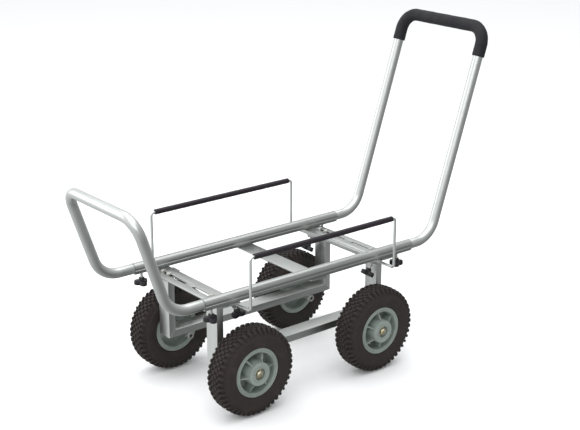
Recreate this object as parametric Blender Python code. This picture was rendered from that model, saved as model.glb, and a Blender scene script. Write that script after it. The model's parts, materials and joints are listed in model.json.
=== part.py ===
"""Four-wheel aluminium garden cart with adjustable track, side guards and two handles.

Metres, +Z up. +X runs from the low front handle to the tall rear handle, +Y to the far side.
The origin is on the ground, under the middle of the cart.
"""
import math

import bmesh
import bpy
from mathutils import Matrix, Vector

# Clearances
GAP = 0.0003
RUN = 0.0004

# Overall layout (X measured from the front axle, before the shift to the cart's middle)
WHEELBASE = 0.458
WHEEL_R = 0.130
TYRE_W = 0.076
RAIL_Y = 0.171
TUBE_R = 0.0150
RAIL_H = 2 * TUBE_R + 0.001
RAIL_LAND = 0.0024
TUBE_WALL = 0.0015

# Leg frames: a U of rectangular tube on each side
FRAME_H = 0.188
FRAME_W = 0.0495
FRAME_T = 0.0220
FRAME_WALL = 0.0020
FRAME_OVERHANG = (0.0735, 0.0780)
FRAME_INSET = 0.053
PLUG_H = 0.018
BOLT_PITCH = 0.027
BOLT_R = 0.0040
WASHER_R = 0.0085
WASHER_T = 0.0016

# Axles, wheels and tyres
AXLE_R = 0.0105
JOURNAL_R = AXLE_R - 0.0025
AXLE_BORE_R = JOURNAL_R - 0.0035
AXLE_PROUD = 0.0027
SHOULDER_PROUD = 0.0048
WHEEL_STANDOFF = 0.0149
BUSH_R = JOURNAL_R + 0.0032
RIM_R = 0.0720
RIM_BARREL_R = RIM_R - 0.0125
RIM_WALL = 0.0040
RIM_HALF_W = TYRE_W / 2 - 0.006
HUB_R = 0.0350
HUB_OUT = TYRE_W / 2 + 0.0064
HUB_IN = TYRE_W / 2 + 0.0086
NUT_WELL_R = 0.0165
NUT_WELL_DEPTH = 0.0080
RIB_COUNT = 6
RIB_T = 0.0030
RIB_TURN = {"near_front": 1, "near_rear": 0, "far_front": 2, "far_rear": 3}

# Cross plates, hung under the rails
PLATE_T = 0.0045
PLATE_MARGIN_Y = 0.015
FRONT_PLATE_SPAN = (-0.0290, 0.0385)
MIDDLE_PLATE_SPAN = (-0.0020, 0.0520)
REAR_PLATE_SPAN = (-0.0400, 0.0240)
REAR_FLANGE_H = 0.012
REAR_FLANGE_T = 0.0035
REAR_STEP = 0.0015
SLOT_W = BOLT_R * 2 + 0.001
SLOT_INNER_Y = 0.016

# Handles: round tube loops with a thinner spigot in each rail
SPIGOT_R = TUBE_R - 0.0031
RAIL_BORE_R = SPIGOT_R + RUN
HANDLE_BEND_R = 0.080
FRONT_RUN = 0.1056
FRONT_SLOPE = -0.3367
FRONT_RISE = 0.2761
FRONT_CORNER_R = 0.055
REAR_RUN = 0.0857
REAR_SLOPE = 0.3286
REAR_RISE = 0.6201
REAR_CORNER_R = 0.052
GRIP_R = TUBE_R + 0.004
GRIP_DROP = 0.0827

# Side guards and their clamps
GUARD_RISE = 0.1224
GUARD_SPAN = (0.0405, -0.0220)
GUARD_ROD_R = 0.0040
GUARD_BEND_R = 0.010
GUARD_OUT = {"near": 0.0566, "far": 0.0790}
GUARD_FOOT_LEN = 0.135
SLEEVE_R = GUARD_ROD_R + 0.0042
SLEEVE_INSET = 0.0125
CLAMP_INSET = 0.031
CLAMP_SIZE = (GUARD_ROD_R * 2 + 0.013, 0.030, GUARD_ROD_R * 2 + 0.0125)
CLAMP_TILT = math.radians(32.0)
CLAMP_KNOB_REACH = 0.0445

# Hand knobs
KNOB_R = 0.0205
KNOB_T = 0.0140
KNOB_WAIST = 0.72
BOSS_R = 0.0090
BOSS_H = 0.0085
STUD_R = 0.0040
KNOB_CORE = 0.0120
HANDLE_KNOB_SETBACK = (0.028, 0.051)
SPIGOT_LEN = (HANDLE_KNOB_SETBACK[0] + 0.032, HANDLE_KNOB_SETBACK[1] + 0.032)
HANDLE_KNOB_DROP = 0.032

# Derived heights
FRAME_BOTTOM = WHEEL_R + AXLE_R + 0.0005
FRAME_TOP = FRAME_BOTTOM + FRAME_H
PLATE_BOTTOM = FRAME_TOP + GAP
PLATE_TOP = PLATE_BOTTOM + PLATE_T
RAIL_BOTTOM = PLATE_TOP + GAP
RAIL_Z = RAIL_BOTTOM + RAIL_H / 2
FRONT_TOP_Z = RAIL_Z + FRONT_RISE
REAR_TOP_Z = RAIL_Z + REAR_RISE
GRIP_END_Z = REAR_TOP_Z - GRIP_DROP
GUARD_TOP_Z = RAIL_Z + GUARD_RISE
GUARD_FOOT_Z = PLATE_BOTTOM - GAP - CLAMP_SIZE[2] / 2
HANDLE_KNOB_Z = RAIL_BOTTOM - HANDLE_KNOB_DROP

# Derived positions along the cart
FRAME_X = (-FRAME_OVERHANG[0], WHEELBASE + FRAME_OVERHANG[1])
LEG_X = (FRAME_X[0] + FRAME_T / 2, FRAME_X[1] - FRAME_T / 2)
FRONT_PLATE_X = (LEG_X[0] + FRONT_PLATE_SPAN[0], LEG_X[0] + FRONT_PLATE_SPAN[1])
MIDDLE_PLATE_X = (WHEELBASE / 2 + MIDDLE_PLATE_SPAN[0], WHEELBASE / 2 + MIDDLE_PLATE_SPAN[1])
REAR_PLATE_X = (LEG_X[1] + REAR_PLATE_SPAN[0], LEG_X[1] + REAR_PLATE_SPAN[1])
RAIL_FRONT = FRONT_PLATE_X[0] - 0.0485
RAIL_REAR = REAR_PLATE_X[1] + 0.069
GUARD_X = (LEG_X[0] + GUARD_SPAN[0], LEG_X[1] + GUARD_SPAN[1])
HANDLE_KNOB_X = (RAIL_FRONT + HANDLE_KNOB_SETBACK[0], RAIL_REAR - HANDLE_KNOB_SETBACK[1])
FRONT_LEG_X = RAIL_FRONT - FRONT_RUN
REAR_LEG_X = RAIL_REAR + REAR_RUN
FRONT_TOP_X = FRONT_LEG_X + FRONT_SLOPE * FRONT_RISE
REAR_TOP_X = REAR_LEG_X + REAR_SLOPE * REAR_RISE
X_MID = (FRONT_TOP_X - TUBE_R + REAR_TOP_X + GRIP_R) / 2

# Derived positions across the cart
FRAME_Y = RAIL_Y - FRAME_INSET
AXLE_INNER_Y = FRAME_Y - FRAME_W / 2 - AXLE_PROUD
AXLE_SHOULDER_Y = FRAME_Y + FRAME_W / 2 + SHOULDER_PROUD
WHEEL_Y = FRAME_Y + FRAME_W / 2 + WHEEL_STANDOFF + TYRE_W / 2
PLATE_HALF_Y = RAIL_Y + PLATE_MARGIN_Y
SLOT_Y = (SLOT_INNER_Y, FRAME_Y + BOLT_PITCH / 2 + SLOT_W / 2)
CLAMP_Y = RAIL_Y - CLAMP_INSET

SEG = 20
FINE_SEG = 12
TUBE_SEG = 10
BEND_STEPS = 4


def clear_scene():
    for obj in list(bpy.data.objects):
        bpy.data.objects.remove(obj, do_unlink=True)


def material(name, colour, roughness, metallic=0.0):
    mat = bpy.data.materials.new(name)
    mat.use_nodes = True
    shader = mat.node_tree.nodes["Principled BSDF"]
    shader.inputs["Base Color"].default_value = (*colour, 1.0)
    shader.inputs["Roughness"].default_value = roughness
    shader.inputs["Metallic"].default_value = metallic
    return mat


def empty(name, location, parent=None, rotation=(0.0, 0.0, 0.0)):
    obj = bpy.data.objects.new(name, None)
    obj.location = location
    obj.rotation_euler = rotation
    obj.parent = parent
    bpy.context.collection.objects.link(obj)
    return obj


def finish(name, bm, mat, parent, location=(0.0, 0.0, 0.0), rotation=(0.0, 0.0, 0.0), angle=35.0):
    """Turn a bmesh into a named object with outward faces and smooth round sides."""
    bmesh.ops.recalc_face_normals(bm, faces=bm.faces)
    mesh = bpy.data.meshes.new(name)
    bm.to_mesh(mesh)
    bm.free()
    mesh.shade_smooth()
    mesh.set_sharp_from_angle(angle=math.radians(angle))
    mesh.materials.append(mat)
    obj = bpy.data.objects.new(name, mesh)
    obj.location = location
    obj.rotation_euler = rotation
    obj.parent = parent
    bpy.context.collection.objects.link(obj)
    return obj


def boolean(target, cutter, operation="DIFFERENCE"):
    """Cut target with, or join it to, a hidden helper object."""
    cutter.hide_render = True
    cutter.display_type = "WIRE"
    mod = target.modifiers.new(cutter.name, "BOOLEAN")
    mod.operation = operation
    mod.solver = "EXACT"
    mod.object = cutter
    return mod


def box_bm(size, centre=(0.0, 0.0, 0.0)):
    bm = bmesh.new()
    bmesh.ops.create_cube(bm, size=1.0)
    bmesh.ops.scale(bm, vec=size, verts=bm.verts)
    bmesh.ops.translate(bm, vec=centre, verts=bm.verts)
    return bm


def cylinder_bm(radius, depth, segments=SEG, centre=(0.0, 0.0, 0.0), axis="Z"):
    bm = bmesh.new()
    bmesh.ops.create_cone(bm, cap_ends=True, segments=segments, radius1=radius, radius2=radius, depth=depth)
    if axis == "Y":
        bmesh.ops.rotate(bm, matrix=Matrix.Rotation(math.pi / 2, 3, "X"), verts=bm.verts)
    if axis == "X":
        bmesh.ops.rotate(bm, matrix=Matrix.Rotation(math.pi / 2, 3, "Y"), verts=bm.verts)
    bmesh.ops.translate(bm, vec=centre, verts=bm.verts)
    return bm


def prism_bm(outline, start, end):
    """Extrude a flat outline given as 3-D points by the vector from start to end."""
    bm = bmesh.new()
    shift = Vector(end) - Vector(start)
    base = [bm.verts.new(Vector(point) + Vector(start)) for point in outline]
    face = bm.faces.new(base)
    extruded = bmesh.ops.extrude_face_region(bm, geom=[face])
    moved = [item for item in extruded["geom"] if isinstance(item, bmesh.types.BMVert)]
    bmesh.ops.translate(bm, vec=shift, verts=moved)
    return bm


def lathe_bm(profile, segments=SEG):
    """Revolve a closed (radius, y) profile about the Y axis."""
    bm = bmesh.new()
    rings = []
    for step in range(segments):
        angle = 2 * math.pi * step / segments
        rings.append([bm.verts.new((r * math.cos(angle), y, r * math.sin(angle))) for r, y in profile])
    count = len(profile)
    for step in range(segments):
        here, there = rings[step], rings[(step + 1) % segments]
        for i in range(count):
            j = (i + 1) % count
            bm.faces.new((here[i], here[j], there[j], there[i]))
    return bm


def rounded_path(corners, radii, steps):
    """Replace each inner corner of a polyline by an arc."""
    points = [Vector(corners[0])]
    for index in range(1, len(corners) - 1):
        corner = Vector(corners[index])
        back = (Vector(corners[index - 1]) - corner).normalized()
        ahead = (Vector(corners[index + 1]) - corner).normalized()
        half = back.angle(ahead) / 2
        radius = radii[index - 1]
        centre = corner + (back + ahead).normalized() * (radius / math.sin(half))
        first = corner + back * (radius / math.tan(half)) - centre
        last = corner + ahead * (radius / math.tan(half)) - centre
        normal = first.cross(last).normalized()
        sweep = first.angle(last)
        for step in range(steps + 1):
            turn = Matrix.Rotation(sweep * step / steps, 3, normal)
            points.append(centre + turn @ first)
    points.append(Vector(corners[-1]))
    return points


def pipe_bm(stations, segments=TUBE_SEG):
    """Sweep a round pipe along stations of (point, outer radius, inner radius or None)."""
    bm = bmesh.new()
    points = [Vector(s[0]) for s in stations]
    tangents = []
    for i, point in enumerate(points):
        before = points[max(i - 1, 0)]
        after = points[min(i + 1, len(points) - 1)]
        tangents.append((after - before).normalized())
    side = tangents[0].orthogonal().normalized()
    outer, inner = [], []
    for i, (point, tangent) in enumerate(zip(points, tangents)):
        if i:
            side = tangents[i - 1].rotation_difference(tangent) @ side
        side = (side - tangent * side.dot(tangent)).normalized()
        other = tangent.cross(side)
        for rings, radius in ((outer, stations[i][1]), (inner, stations[i][2])):
            if radius is None:
                continue
            ring = []
            for k in range(segments):
                angle = 2 * math.pi * k / segments
                ring.append(bm.verts.new(point + (side * math.cos(angle) + other * math.sin(angle)) * radius))
            rings.append(ring)
    for rings in (outer, inner):
        for here, there in zip(rings, rings[1:]):
            for k in range(segments):
                j = (k + 1) % segments
                bm.faces.new((here[k], here[j], there[j], there[k]))
    if inner:
        for a, b in ((outer[0], inner[0]), (outer[-1], inner[-1])):
            for k in range(segments):
                j = (k + 1) % segments
                bm.faces.new((a[k], a[j], b[j], b[k]))
    else:
        bm.faces.new(outer[0])
        bm.faces.new(outer[-1])
    return bm


def slot_bm(x, y0, y1, z0, z1, width):
    """Straight slot cutter with round ends, along Y."""
    outline = []
    radius = width / 2
    low, high = sorted((y0, y1))
    for centre, start in ((high - radius, 0.0), (low + radius, math.pi)):
        for step in range(7):
            angle = start + math.pi * step / 6
            outline.append((x + radius * math.cos(angle), centre + radius * math.sin(angle), 0.0))
    return prism_bm(outline, (0.0, 0.0, z0), (0.0, 0.0, z1))


def rail_outline():
    """Section of the rail: domed top with a narrow land, side grooves and a flat lower lip."""
    top = RAIL_H / 2
    half = [(RAIL_LAND, top)]
    for step in range(1, 6):
        angle = math.radians(90.0 - step * 16.0)
        half.append((top * math.cos(angle), top * math.sin(angle)))
    half += [(0.916 * top, 0.0012), (0.916 * top, -0.0012), (0.98 * top, -0.0030)]
    half += [(0.90 * top, -0.52 * top), (0.68 * top, -0.76 * top), (0.68 * top, -top)]
    left = [(-y, z) for y, z in reversed(half) if y > 1e-9]
    return half + left


def turned_bm(rings, segments, axis="Z", shape=None):
    """Solid from (radius, height) rings, closed by a flat face at each end.

    shape(angle) scales the radius of every ring wider than KNOB_CORE, for lobed knobs.
    """
    bm = bmesh.new()
    loops = []
    for radius, height in rings:
        loop = []
        for k in range(segments):
            angle = 2 * math.pi * k / segments
            reach = radius * shape(angle) if shape and radius > KNOB_CORE else radius
            u, v = reach * math.cos(angle), reach * math.sin(angle)
            loop.append(bm.verts.new((u, height, v) if axis == "Y" else (u, v, height)))
        loops.append(loop)
    for here, there in zip(loops, loops[1:]):
        for k in range(segments):
            j = (k + 1) % segments
            bm.faces.new((here[k], here[j], there[j], there[k]))
    bm.faces.new(loops[0])
    bm.faces.new(loops[-1])
    return bm


def lobed(angle):
    """Radius factor of a three-lobed knob."""
    return KNOB_WAIST + (1.0 - KNOB_WAIST) * (0.5 + 0.5 * math.cos(3 * angle))


def knob_bm(tip):
    """Three-lobed hand knob on the Z axis: head from z = 0, then a boss, then a stud up to tip."""
    boss_top = KNOB_T + BOSS_H
    rings = [(KNOB_R - 0.0015, 0.0), (KNOB_R, 0.0020), (KNOB_R, KNOB_T), (BOSS_R, KNOB_T)]
    rings += [(BOSS_R - 0.001, boss_top), (STUD_R, boss_top), (STUD_R, tip)]
    return turned_bm(rings, 18, shape=lobed)


def build_rails(root, mats):
    for side, name in ((-1, "rail_near"), (1, "rail_far")):
        outline = [(0.0, y, z) for y, z in rail_outline()]
        centre = (0.0, side * RAIL_Y, RAIL_Z)
        bm = prism_bm(outline, (RAIL_FRONT, 0.0, 0.0), (RAIL_REAR, 0.0, 0.0))
        rail = finish(name, bm, mats["aluminium"], root, centre)
        middle = (RAIL_FRONT + RAIL_REAR) / 2
        length = RAIL_REAR - RAIL_FRONT + 0.02
        bore = finish(name + "_bore", cylinder_bm(RAIL_BORE_R, length, SEG, (middle, 0.0, 0.0), "X"),
                      mats["aluminium"], root, centre)
        boolean(rail, bore)
        for index, x in enumerate(HANDLE_KNOB_X):
            hole = finish(name + "_hole%d" % index, cylinder_bm(STUD_R + RUN, RAIL_H, FINE_SEG), mats["aluminium"],
                          root, (x, side * RAIL_Y, RAIL_BOTTOM))
            boolean(rail, hole)


def handle_stations(end_x, spigot, leg_x, slope, top_z, corner_r, outward):
    """Path of a handle loop from the near spigot, over the top bar, to the far spigot.

    end_x is the rail's end, where the spigot's shoulder stops.
    """
    def leg_at(z):
        return leg_x + slope * (z - RAIL_Z)

    top_x = leg_at(top_z)
    corners = []
    for side in (-1, 1):
        y = side * RAIL_Y
        run = [(end_x, y, RAIL_Z), (leg_x, y, RAIL_Z), (top_x, y, top_z)]
        corners += run if side < 0 else run[::-1]
    path = rounded_path(corners, [HANDLE_BEND_R, corner_r, corner_r, HANDLE_BEND_R], BEND_STEPS)
    near_in = Vector((end_x - outward * spigot, -RAIL_Y, RAIL_Z))
    far_in = Vector((end_x - outward * spigot, RAIL_Y, RAIL_Z))
    out = Vector((outward, 0.0, 0.0))
    inner = TUBE_R - TUBE_WALL
    spigot_inner = SPIGOT_R - TUBE_WALL
    lip = ((GAP, SPIGOT_R, spigot_inner), (2 * GAP, TUBE_R, spigot_inner), (0.005, TUBE_R, inner))
    stations = [(near_in, SPIGOT_R, spigot_inner)]
    stations += [(path[0] + out * shift, outer, hole) for shift, outer, hole in lip]
    stations += [(point, TUBE_R, inner) for point in path[1:-1]]
    stations += [(path[-1] + out * shift, outer, hole) for shift, outer, hole in reversed(lip)]
    stations += [(far_in, SPIGOT_R, spigot_inner)]
    return stations


def build_handles(root, mats):
    front_origin = Vector((RAIL_FRONT, 0.0, RAIL_Z))
    front_body = empty("front_handle_slide", front_origin, root)
    stations = handle_stations(RAIL_FRONT, SPIGOT_LEN[0], FRONT_LEG_X, FRONT_SLOPE, FRONT_TOP_Z,
                               FRONT_CORNER_R, -1)
    stations = [(point - front_origin, outer, hole) for point, outer, hole in stations]
    finish("front_handle", pipe_bm(stations), mats["aluminium"], front_body)

    rear_origin = Vector((RAIL_REAR, 0.0, RAIL_Z))
    rear_body = empty("rear_handle_slide", rear_origin, root)
    stations = handle_stations(RAIL_REAR, SPIGOT_LEN[1], REAR_LEG_X, REAR_SLOPE, REAR_TOP_Z,
                               REAR_CORNER_R, 1)
    stations = [(point - rear_origin, outer, hole) for point, outer, hole in stations]
    finish("rear_handle", pipe_bm(stations), mats["aluminium"], rear_body)

    grip_x = REAR_LEG_X + REAR_SLOPE * (GRIP_END_Z - RAIL_Z)
    corners = [(grip_x, -RAIL_Y, GRIP_END_Z), (REAR_TOP_X, -RAIL_Y, REAR_TOP_Z)]
    corners += [(REAR_TOP_X, RAIL_Y, REAR_TOP_Z), (grip_x, RAIL_Y, GRIP_END_Z)]
    path = rounded_path(corners, [REAR_CORNER_R, REAR_CORNER_R], BEND_STEPS)
    bore = (TUBE_R + GAP) / math.cos(math.pi / TUBE_SEG)
    stations = [(point - rear_origin, GRIP_R, bore) for point in path]
    finish("rear_grip", pipe_bm(stations), mats["foam"], rear_body)


def plate_bm(x0, x1, flange=False):
    """Cross plate as a section in X and Z, extruded along Y."""
    top, bottom = PLATE_TOP, PLATE_BOTTOM
    if flange:
        outline = [(x0, 0, top), (x0, 0, top - REAR_FLANGE_H), (x0 + REAR_FLANGE_T, 0, top - REAR_FLANGE_H)]
        outline += [(x0 + REAR_FLANGE_T, 0, bottom), (x1, 0, bottom), (x1, 0, top)]
        outline += [(x0 + 0.016, 0, top), (x0 + 0.0145, 0, top - REAR_STEP)]
        outline += [(x0 + 0.0055, 0, top - REAR_STEP), (x0 + 0.0040, 0, top)]
    else:
        outline = [(x0, 0, bottom), (x1, 0, bottom), (x1, 0, top), (x0, 0, top)]
    return prism_bm(outline, (0.0, -PLATE_HALF_Y, 0.0), (0.0, PLATE_HALF_Y, 0.0))


def build_plates(root, mats):
    plates = (("front_cross_plate", FRONT_PLATE_X, False, LEG_X[0]),
              ("middle_cross_plate", MIDDLE_PLATE_X, False, None),
              ("rear_cross_plate", REAR_PLATE_X, True, LEG_X[1]))
    for name, (x0, x1), flange, slot_x in plates:
        plate = finish(name, plate_bm(x0, x1, flange), mats["aluminium"], root)
        if slot_x is None:
            continue
        for side, label in ((-1, "near"), (1, "far")):
            cutter = slot_bm(slot_x, side * SLOT_Y[0], side * SLOT_Y[1], PLATE_BOTTOM - 0.01, PLATE_TOP + 0.01, SLOT_W)
            boolean(plate, finish(name + "_slot_" + label, cutter, mats["aluminium"], root))


def u_outline(inset, extra_top):
    """U-shaped outline in X and Z for a leg frame, drawn in by inset."""
    x0, x1 = FRAME_X[0] + inset, FRAME_X[1] - inset
    z0, z1 = FRAME_BOTTOM + inset, FRAME_TOP + extra_top
    t = FRAME_T - 2 * inset
    points = [(x0, z1), (x0, z0), (x1, z0), (x1, z1), (x1 - t, z1), (x1 - t, z0 + t), (x0 + t, z0 + t)]
    points += [(x0 + t, z1)]
    return [(x, 0.0, z) for x, z in points]


def bolt_bm():
    """Track bolt with its washer: the washer's underside is at z = 0."""
    shank = PLATE_TOP + GAP - FRAME_TOP + PLUG_H - 0.002
    rings = [(BOLT_R, -shank), (BOLT_R, 0.0), (WASHER_R, 0.0), (WASHER_R, WASHER_T)]
    rings += [(0.0065, WASHER_T + 0.0001), (0.0060, WASHER_T + 0.0050)]
    return turned_bm(rings, FINE_SEG)


def build_frame(side, label, root, mats):
    """One U-shaped leg frame with its top plugs, clamping bolts and stub axles."""
    body = empty(label + "_frame_slide", (0.0, side * FRAME_Y, 0.0), root)
    bm = prism_bm(u_outline(0.0, 0.0), (0.0, -FRAME_W / 2, 0.0), (0.0, FRAME_W / 2, 0.0))
    frame = finish("leg_frame_" + label, bm, mats["aluminium"], body)
    reach = FRAME_W / 2 - FRAME_WALL
    bm = prism_bm(u_outline(FRAME_WALL, 0.01), (0.0, -reach, 0.0), (0.0, reach, 0.0))
    boolean(frame, finish("leg_frame_%s_hollow" % label, bm, mats["aluminium"], body))

    for end, x, wheel_x in (("front", LEG_X[0], 0.0), ("rear", LEG_X[1], WHEELBASE)):
        tag = label + "_" + end
        size = (FRAME_T - 2 * FRAME_WALL - 2 * GAP, FRAME_W - 2 * FRAME_WALL - 2 * GAP, PLUG_H)
        plug = finish("leg_plug_" + tag, box_bm(size, (0.0, 0.0, -PLUG_H / 2)), mats["plug"], body,
                      (x, 0.0, FRAME_TOP))
        for where, y in (("inner", -side * BOLT_PITCH / 2), ("outer", side * BOLT_PITCH / 2)):
            hole = cylinder_bm(BOLT_R + RUN, PLUG_H * 3, FINE_SEG, (0.0, y, 0.0))
            boolean(plug, finish("leg_plug_%s_hole_%s" % (tag, where), hole, mats["plug"], body,
                                 (x, 0.0, FRAME_TOP)))
            finish("track_bolt_%s_%s" % (tag, where), bolt_bm(), mats["zinc"], body,
                   (x, y, PLATE_TOP + GAP))
        build_axle(side, tag, wheel_x, body, mats)
        build_nut(side, tag, wheel_x, body, mats)
        build_wheel(side, tag, wheel_x, body, mats)


def axle_end():
    """Outer end of the stub axle, measured outward from the wheel's middle plane."""
    return HUB_OUT - NUT_WELL_DEPTH - 0.0005


def build_axle(side, tag, x, body, mats):
    inner = AXLE_INNER_Y - FRAME_Y
    shoulder = AXLE_SHOULDER_Y - FRAME_Y
    outer = WHEEL_Y + axle_end() - FRAME_Y
    profile = [(AXLE_BORE_R, side * inner), (AXLE_R, side * inner), (AXLE_R, side * shoulder)]
    profile += [(JOURNAL_R, side * shoulder), (JOURNAL_R, side * outer), (AXLE_BORE_R, side * outer)]
    finish("axle_" + tag, lathe_bm(profile, FINE_SEG), mats["steel"], body, (x, 0.0, WHEEL_R))


def rim_profile(side):
    barrel = RIM_BARREL_R - RIM_WALL
    web = (-0.006, -0.001)
    points = [(BUSH_R + GAP, -HUB_IN), (0.0190, -HUB_IN), (0.0190, web[0]), (barrel, web[0])]
    points += [(barrel, -RIM_HALF_W), (RIM_R, -RIM_HALF_W), (RIM_R, -RIM_HALF_W + RIM_WALL)]
    points += [(RIM_BARREL_R, -RIM_HALF_W + RIM_WALL), (RIM_BARREL_R, RIM_HALF_W - RIM_WALL)]
    points += [(RIM_R, RIM_HALF_W - RIM_WALL), (RIM_R, RIM_HALF_W), (barrel, RIM_HALF_W - 0.001)]
    points += [(barrel, web[1]), (HUB_R, web[1]), (HUB_R - 0.001, HUB_OUT), (NUT_WELL_R, HUB_OUT)]
    points += [(NUT_WELL_R, HUB_OUT - NUT_WELL_DEPTH), (BUSH_R + GAP, HUB_OUT - NUT_WELL_DEPTH)]
    return [(r, side * y) for r, y in points]


def tyre_profile(side):
    seat = RIM_BARREL_R + GAP
    edge = RIM_HALF_W - RIM_WALL - GAP
    half = TYRE_W / 2
    right = [(seat, edge), (RIM_R + GAP, edge), (RIM_R + 0.001, half - 0.0045), (0.73 * WHEEL_R, half)]
    right += [(0.92 * WHEEL_R, half - 0.0060), (WHEEL_R, half - 0.0240)]
    left = [(r, -y) for r, y in reversed(right)]
    hollow = [(seat, 0.0190), (0.69 * WHEEL_R, 0.0290), (0.89 * WHEEL_R, 0.0220)]
    cavity = [(r, -y) for r, y in hollow] + list(reversed(hollow))
    return [(r, side * y) for r, y in right + left + cavity]


def build_wheel(side, tag, x, body, mats):
    """Rubber tyre on a ribbed rim with its bush, turning about Y."""
    turn = 2 * math.pi * RIB_TURN[tag] / SEG
    hub = empty("wheel_" + tag, (x, side * (WHEEL_Y - FRAME_Y), WHEEL_R), body, (0.0, turn, 0.0))
    finish("tyre_" + tag, lathe_bm(tyre_profile(side)), mats["rubber"], hub)
    rim = finish("rim_" + tag, lathe_bm(rim_profile(side)), mats["rim"], hub)
    barrel = RIM_BARREL_R - RIM_WALL
    for index in range(RIB_COUNT):
        angle = 2 * math.pi * (index + 0.5) / RIB_COUNT
        outline = [(HUB_R - 0.004, side * -0.003), (barrel + 0.002, side * -0.003)]
        outline += [(barrel + 0.002, side * 0.026), (HUB_R - 0.004, side * 0.036)]
        bm = prism_bm([(r, y, 0.0) for r, y in outline], (0, 0, -RIB_T / 2), (0, 0, RIB_T / 2))
        rib = finish("rim_%s_rib%d" % (tag, index), bm, mats["rim"], hub, rotation=(0.0, angle, 0.0))
        boolean(rim, rib, "UNION")
    for index in range(0, RIB_COUNT, 2):
        angle = 2 * math.pi * index / RIB_COUNT
        outline = []
        for radius, order in ((HUB_R + 0.004, 1), (barrel - 0.003, -1)):
            for step in range(5):
                a = math.radians(-20.0 + 10.0 * step) * order
                outline.append((radius * math.cos(a), 0.0, radius * math.sin(a)))
        bm = prism_bm(outline, (0.0, -0.012, 0.0), (0.0, 0.006, 0.0))
        window = finish("rim_%s_window%d" % (tag, index), bm, mats["rim"], hub, rotation=(0.0, angle, 0.0))
        if side < 0:
            window.location = (0.0, 0.006, 0.0)
        boolean(rim, window)
    inner = JOURNAL_R + RUN
    bush = [(inner, -HUB_IN), (BUSH_R, -HUB_IN), (BUSH_R, HUB_OUT - NUT_WELL_DEPTH - GAP)]
    bush += [(inner, HUB_OUT - NUT_WELL_DEPTH - GAP)]
    finish("hub_bush_" + tag, lathe_bm([(r, side * y) for r, y in bush], FINE_SEG), mats["bush"], hub)


def build_nut(side, tag, x, body, mats):
    """Domed axle nut with its washer, held by a short shank in the axle's bore."""
    floor = HUB_OUT - NUT_WELL_DEPTH + GAP
    shank = AXLE_BORE_R - RUN
    rings = [(shank, floor - 0.020), (shank, floor), (0.0120, floor), (0.0120, floor + 0.0015)]
    rings += [(0.0098, floor + 0.0017), (0.0098, floor + 0.0065), (0.0055, floor + 0.0108)]
    bm = turned_bm([(radius, side * y) for radius, y in rings], FINE_SEG, "Y")
    finish("hub_nut_" + tag, bm, mats["zinc"], body, (x, side * (WHEEL_Y - FRAME_Y), WHEEL_R))


def build_guard(side, label, root, mats):
    """Side guard: a bent rod with a sleeved top bar, its feet held in clamps under the plates."""
    reach = RAIL_Y + GUARD_OUT[label]
    origin = Vector((0.0, side * reach, GUARD_FOOT_Z))
    body = empty("guard_slide_" + label, origin, root)
    foot_y = side * (reach - GUARD_FOOT_LEN)
    corners = [(GUARD_X[0], foot_y, GUARD_FOOT_Z), (GUARD_X[0], side * reach, GUARD_FOOT_Z)]
    corners += [(GUARD_X[0], side * reach, GUARD_TOP_Z), (GUARD_X[1], side * reach, GUARD_TOP_Z)]
    corners += [(GUARD_X[1], side * reach, GUARD_FOOT_Z), (GUARD_X[1], foot_y, GUARD_FOOT_Z)]
    path = rounded_path(corners, [GUARD_BEND_R] * 4, 3)
    stations = [(point - origin, GUARD_ROD_R, None) for point in path]
    finish("guard_rod_" + label, pipe_bm(stations, 8), mats["aluminium"], body)
    ends = (GUARD_X[0] + SLEEVE_INSET, GUARD_X[1] - SLEEVE_INSET)
    stations = []
    for x in ends:
        point = Vector((x, side * reach, GUARD_TOP_Z))
        stations.append((point - origin, SLEEVE_R, GUARD_ROD_R + RUN))
    finish("guard_sleeve_" + label, pipe_bm(stations, FINE_SEG), mats["vinyl"], body)


def build_clamps(root, mats):
    """Clamp blocks for the guard feet, each with a hand knob on a leaning stud."""
    head = CLAMP_KNOB_REACH + KNOB_T / 2
    tip = head - GUARD_ROD_R - 0.0005
    for side, label in ((-1, "near"), (1, "far")):
        for end, x, lean in (("front", GUARD_X[0], 1), ("rear", GUARD_X[1], -1)):
            tag = label + "_" + end
            y = side * CLAMP_Y
            top = PLATE_BOTTOM - GAP
            block = finish("guard_clamp_" + tag, box_bm(CLAMP_SIZE, (0, 0, top - CLAMP_SIZE[2] / 2)),
                           mats["zinc"], root, (x, y, 0.0))
            bore = finish("guard_clamp_%s_bore" % tag, cylinder_bm(GUARD_ROD_R + RUN, 0.06, FINE_SEG, axis="Y"),
                          mats["zinc"], root, (x, y, GUARD_FOOT_Z))
            boolean(block, bore)
            turn = -lean * CLAMP_TILT
            pivot = empty("guard_knob_axis_" + tag, (x, y, GUARD_FOOT_Z), root, (0.0, turn, 0.0))
            stud_hole = finish("guard_clamp_%s_stud_hole" % tag, cylinder_bm(STUD_R + RUN, 0.030, FINE_SEG),
                               mats["zinc"], pivot, (0.0, 0.0, -0.0155))
            boolean(block, stud_hole)
            finish("guard_knob_" + tag, knob_bm(tip), mats["knob"], pivot, (0.0, 0.0, -head))


def build_handle_knobs(root, mats):
    """Hand knobs under the rails that clamp the handle spigots."""
    base = HANDLE_KNOB_Z - KNOB_T / 2
    tip = RAIL_Z - SPIGOT_R - 0.0005 - base
    for side, label in ((-1, "near"), (1, "far")):
        for end, x, turn in (("front", HANDLE_KNOB_X[0], 25.0), ("rear", HANDLE_KNOB_X[1], -15.0)):
            finish("handle_knob_%s_%s" % (label, end), knob_bm(tip), mats["knob"], root,
                   (x, side * RAIL_Y, base), (0.0, 0.0, math.radians(turn)))


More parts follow.
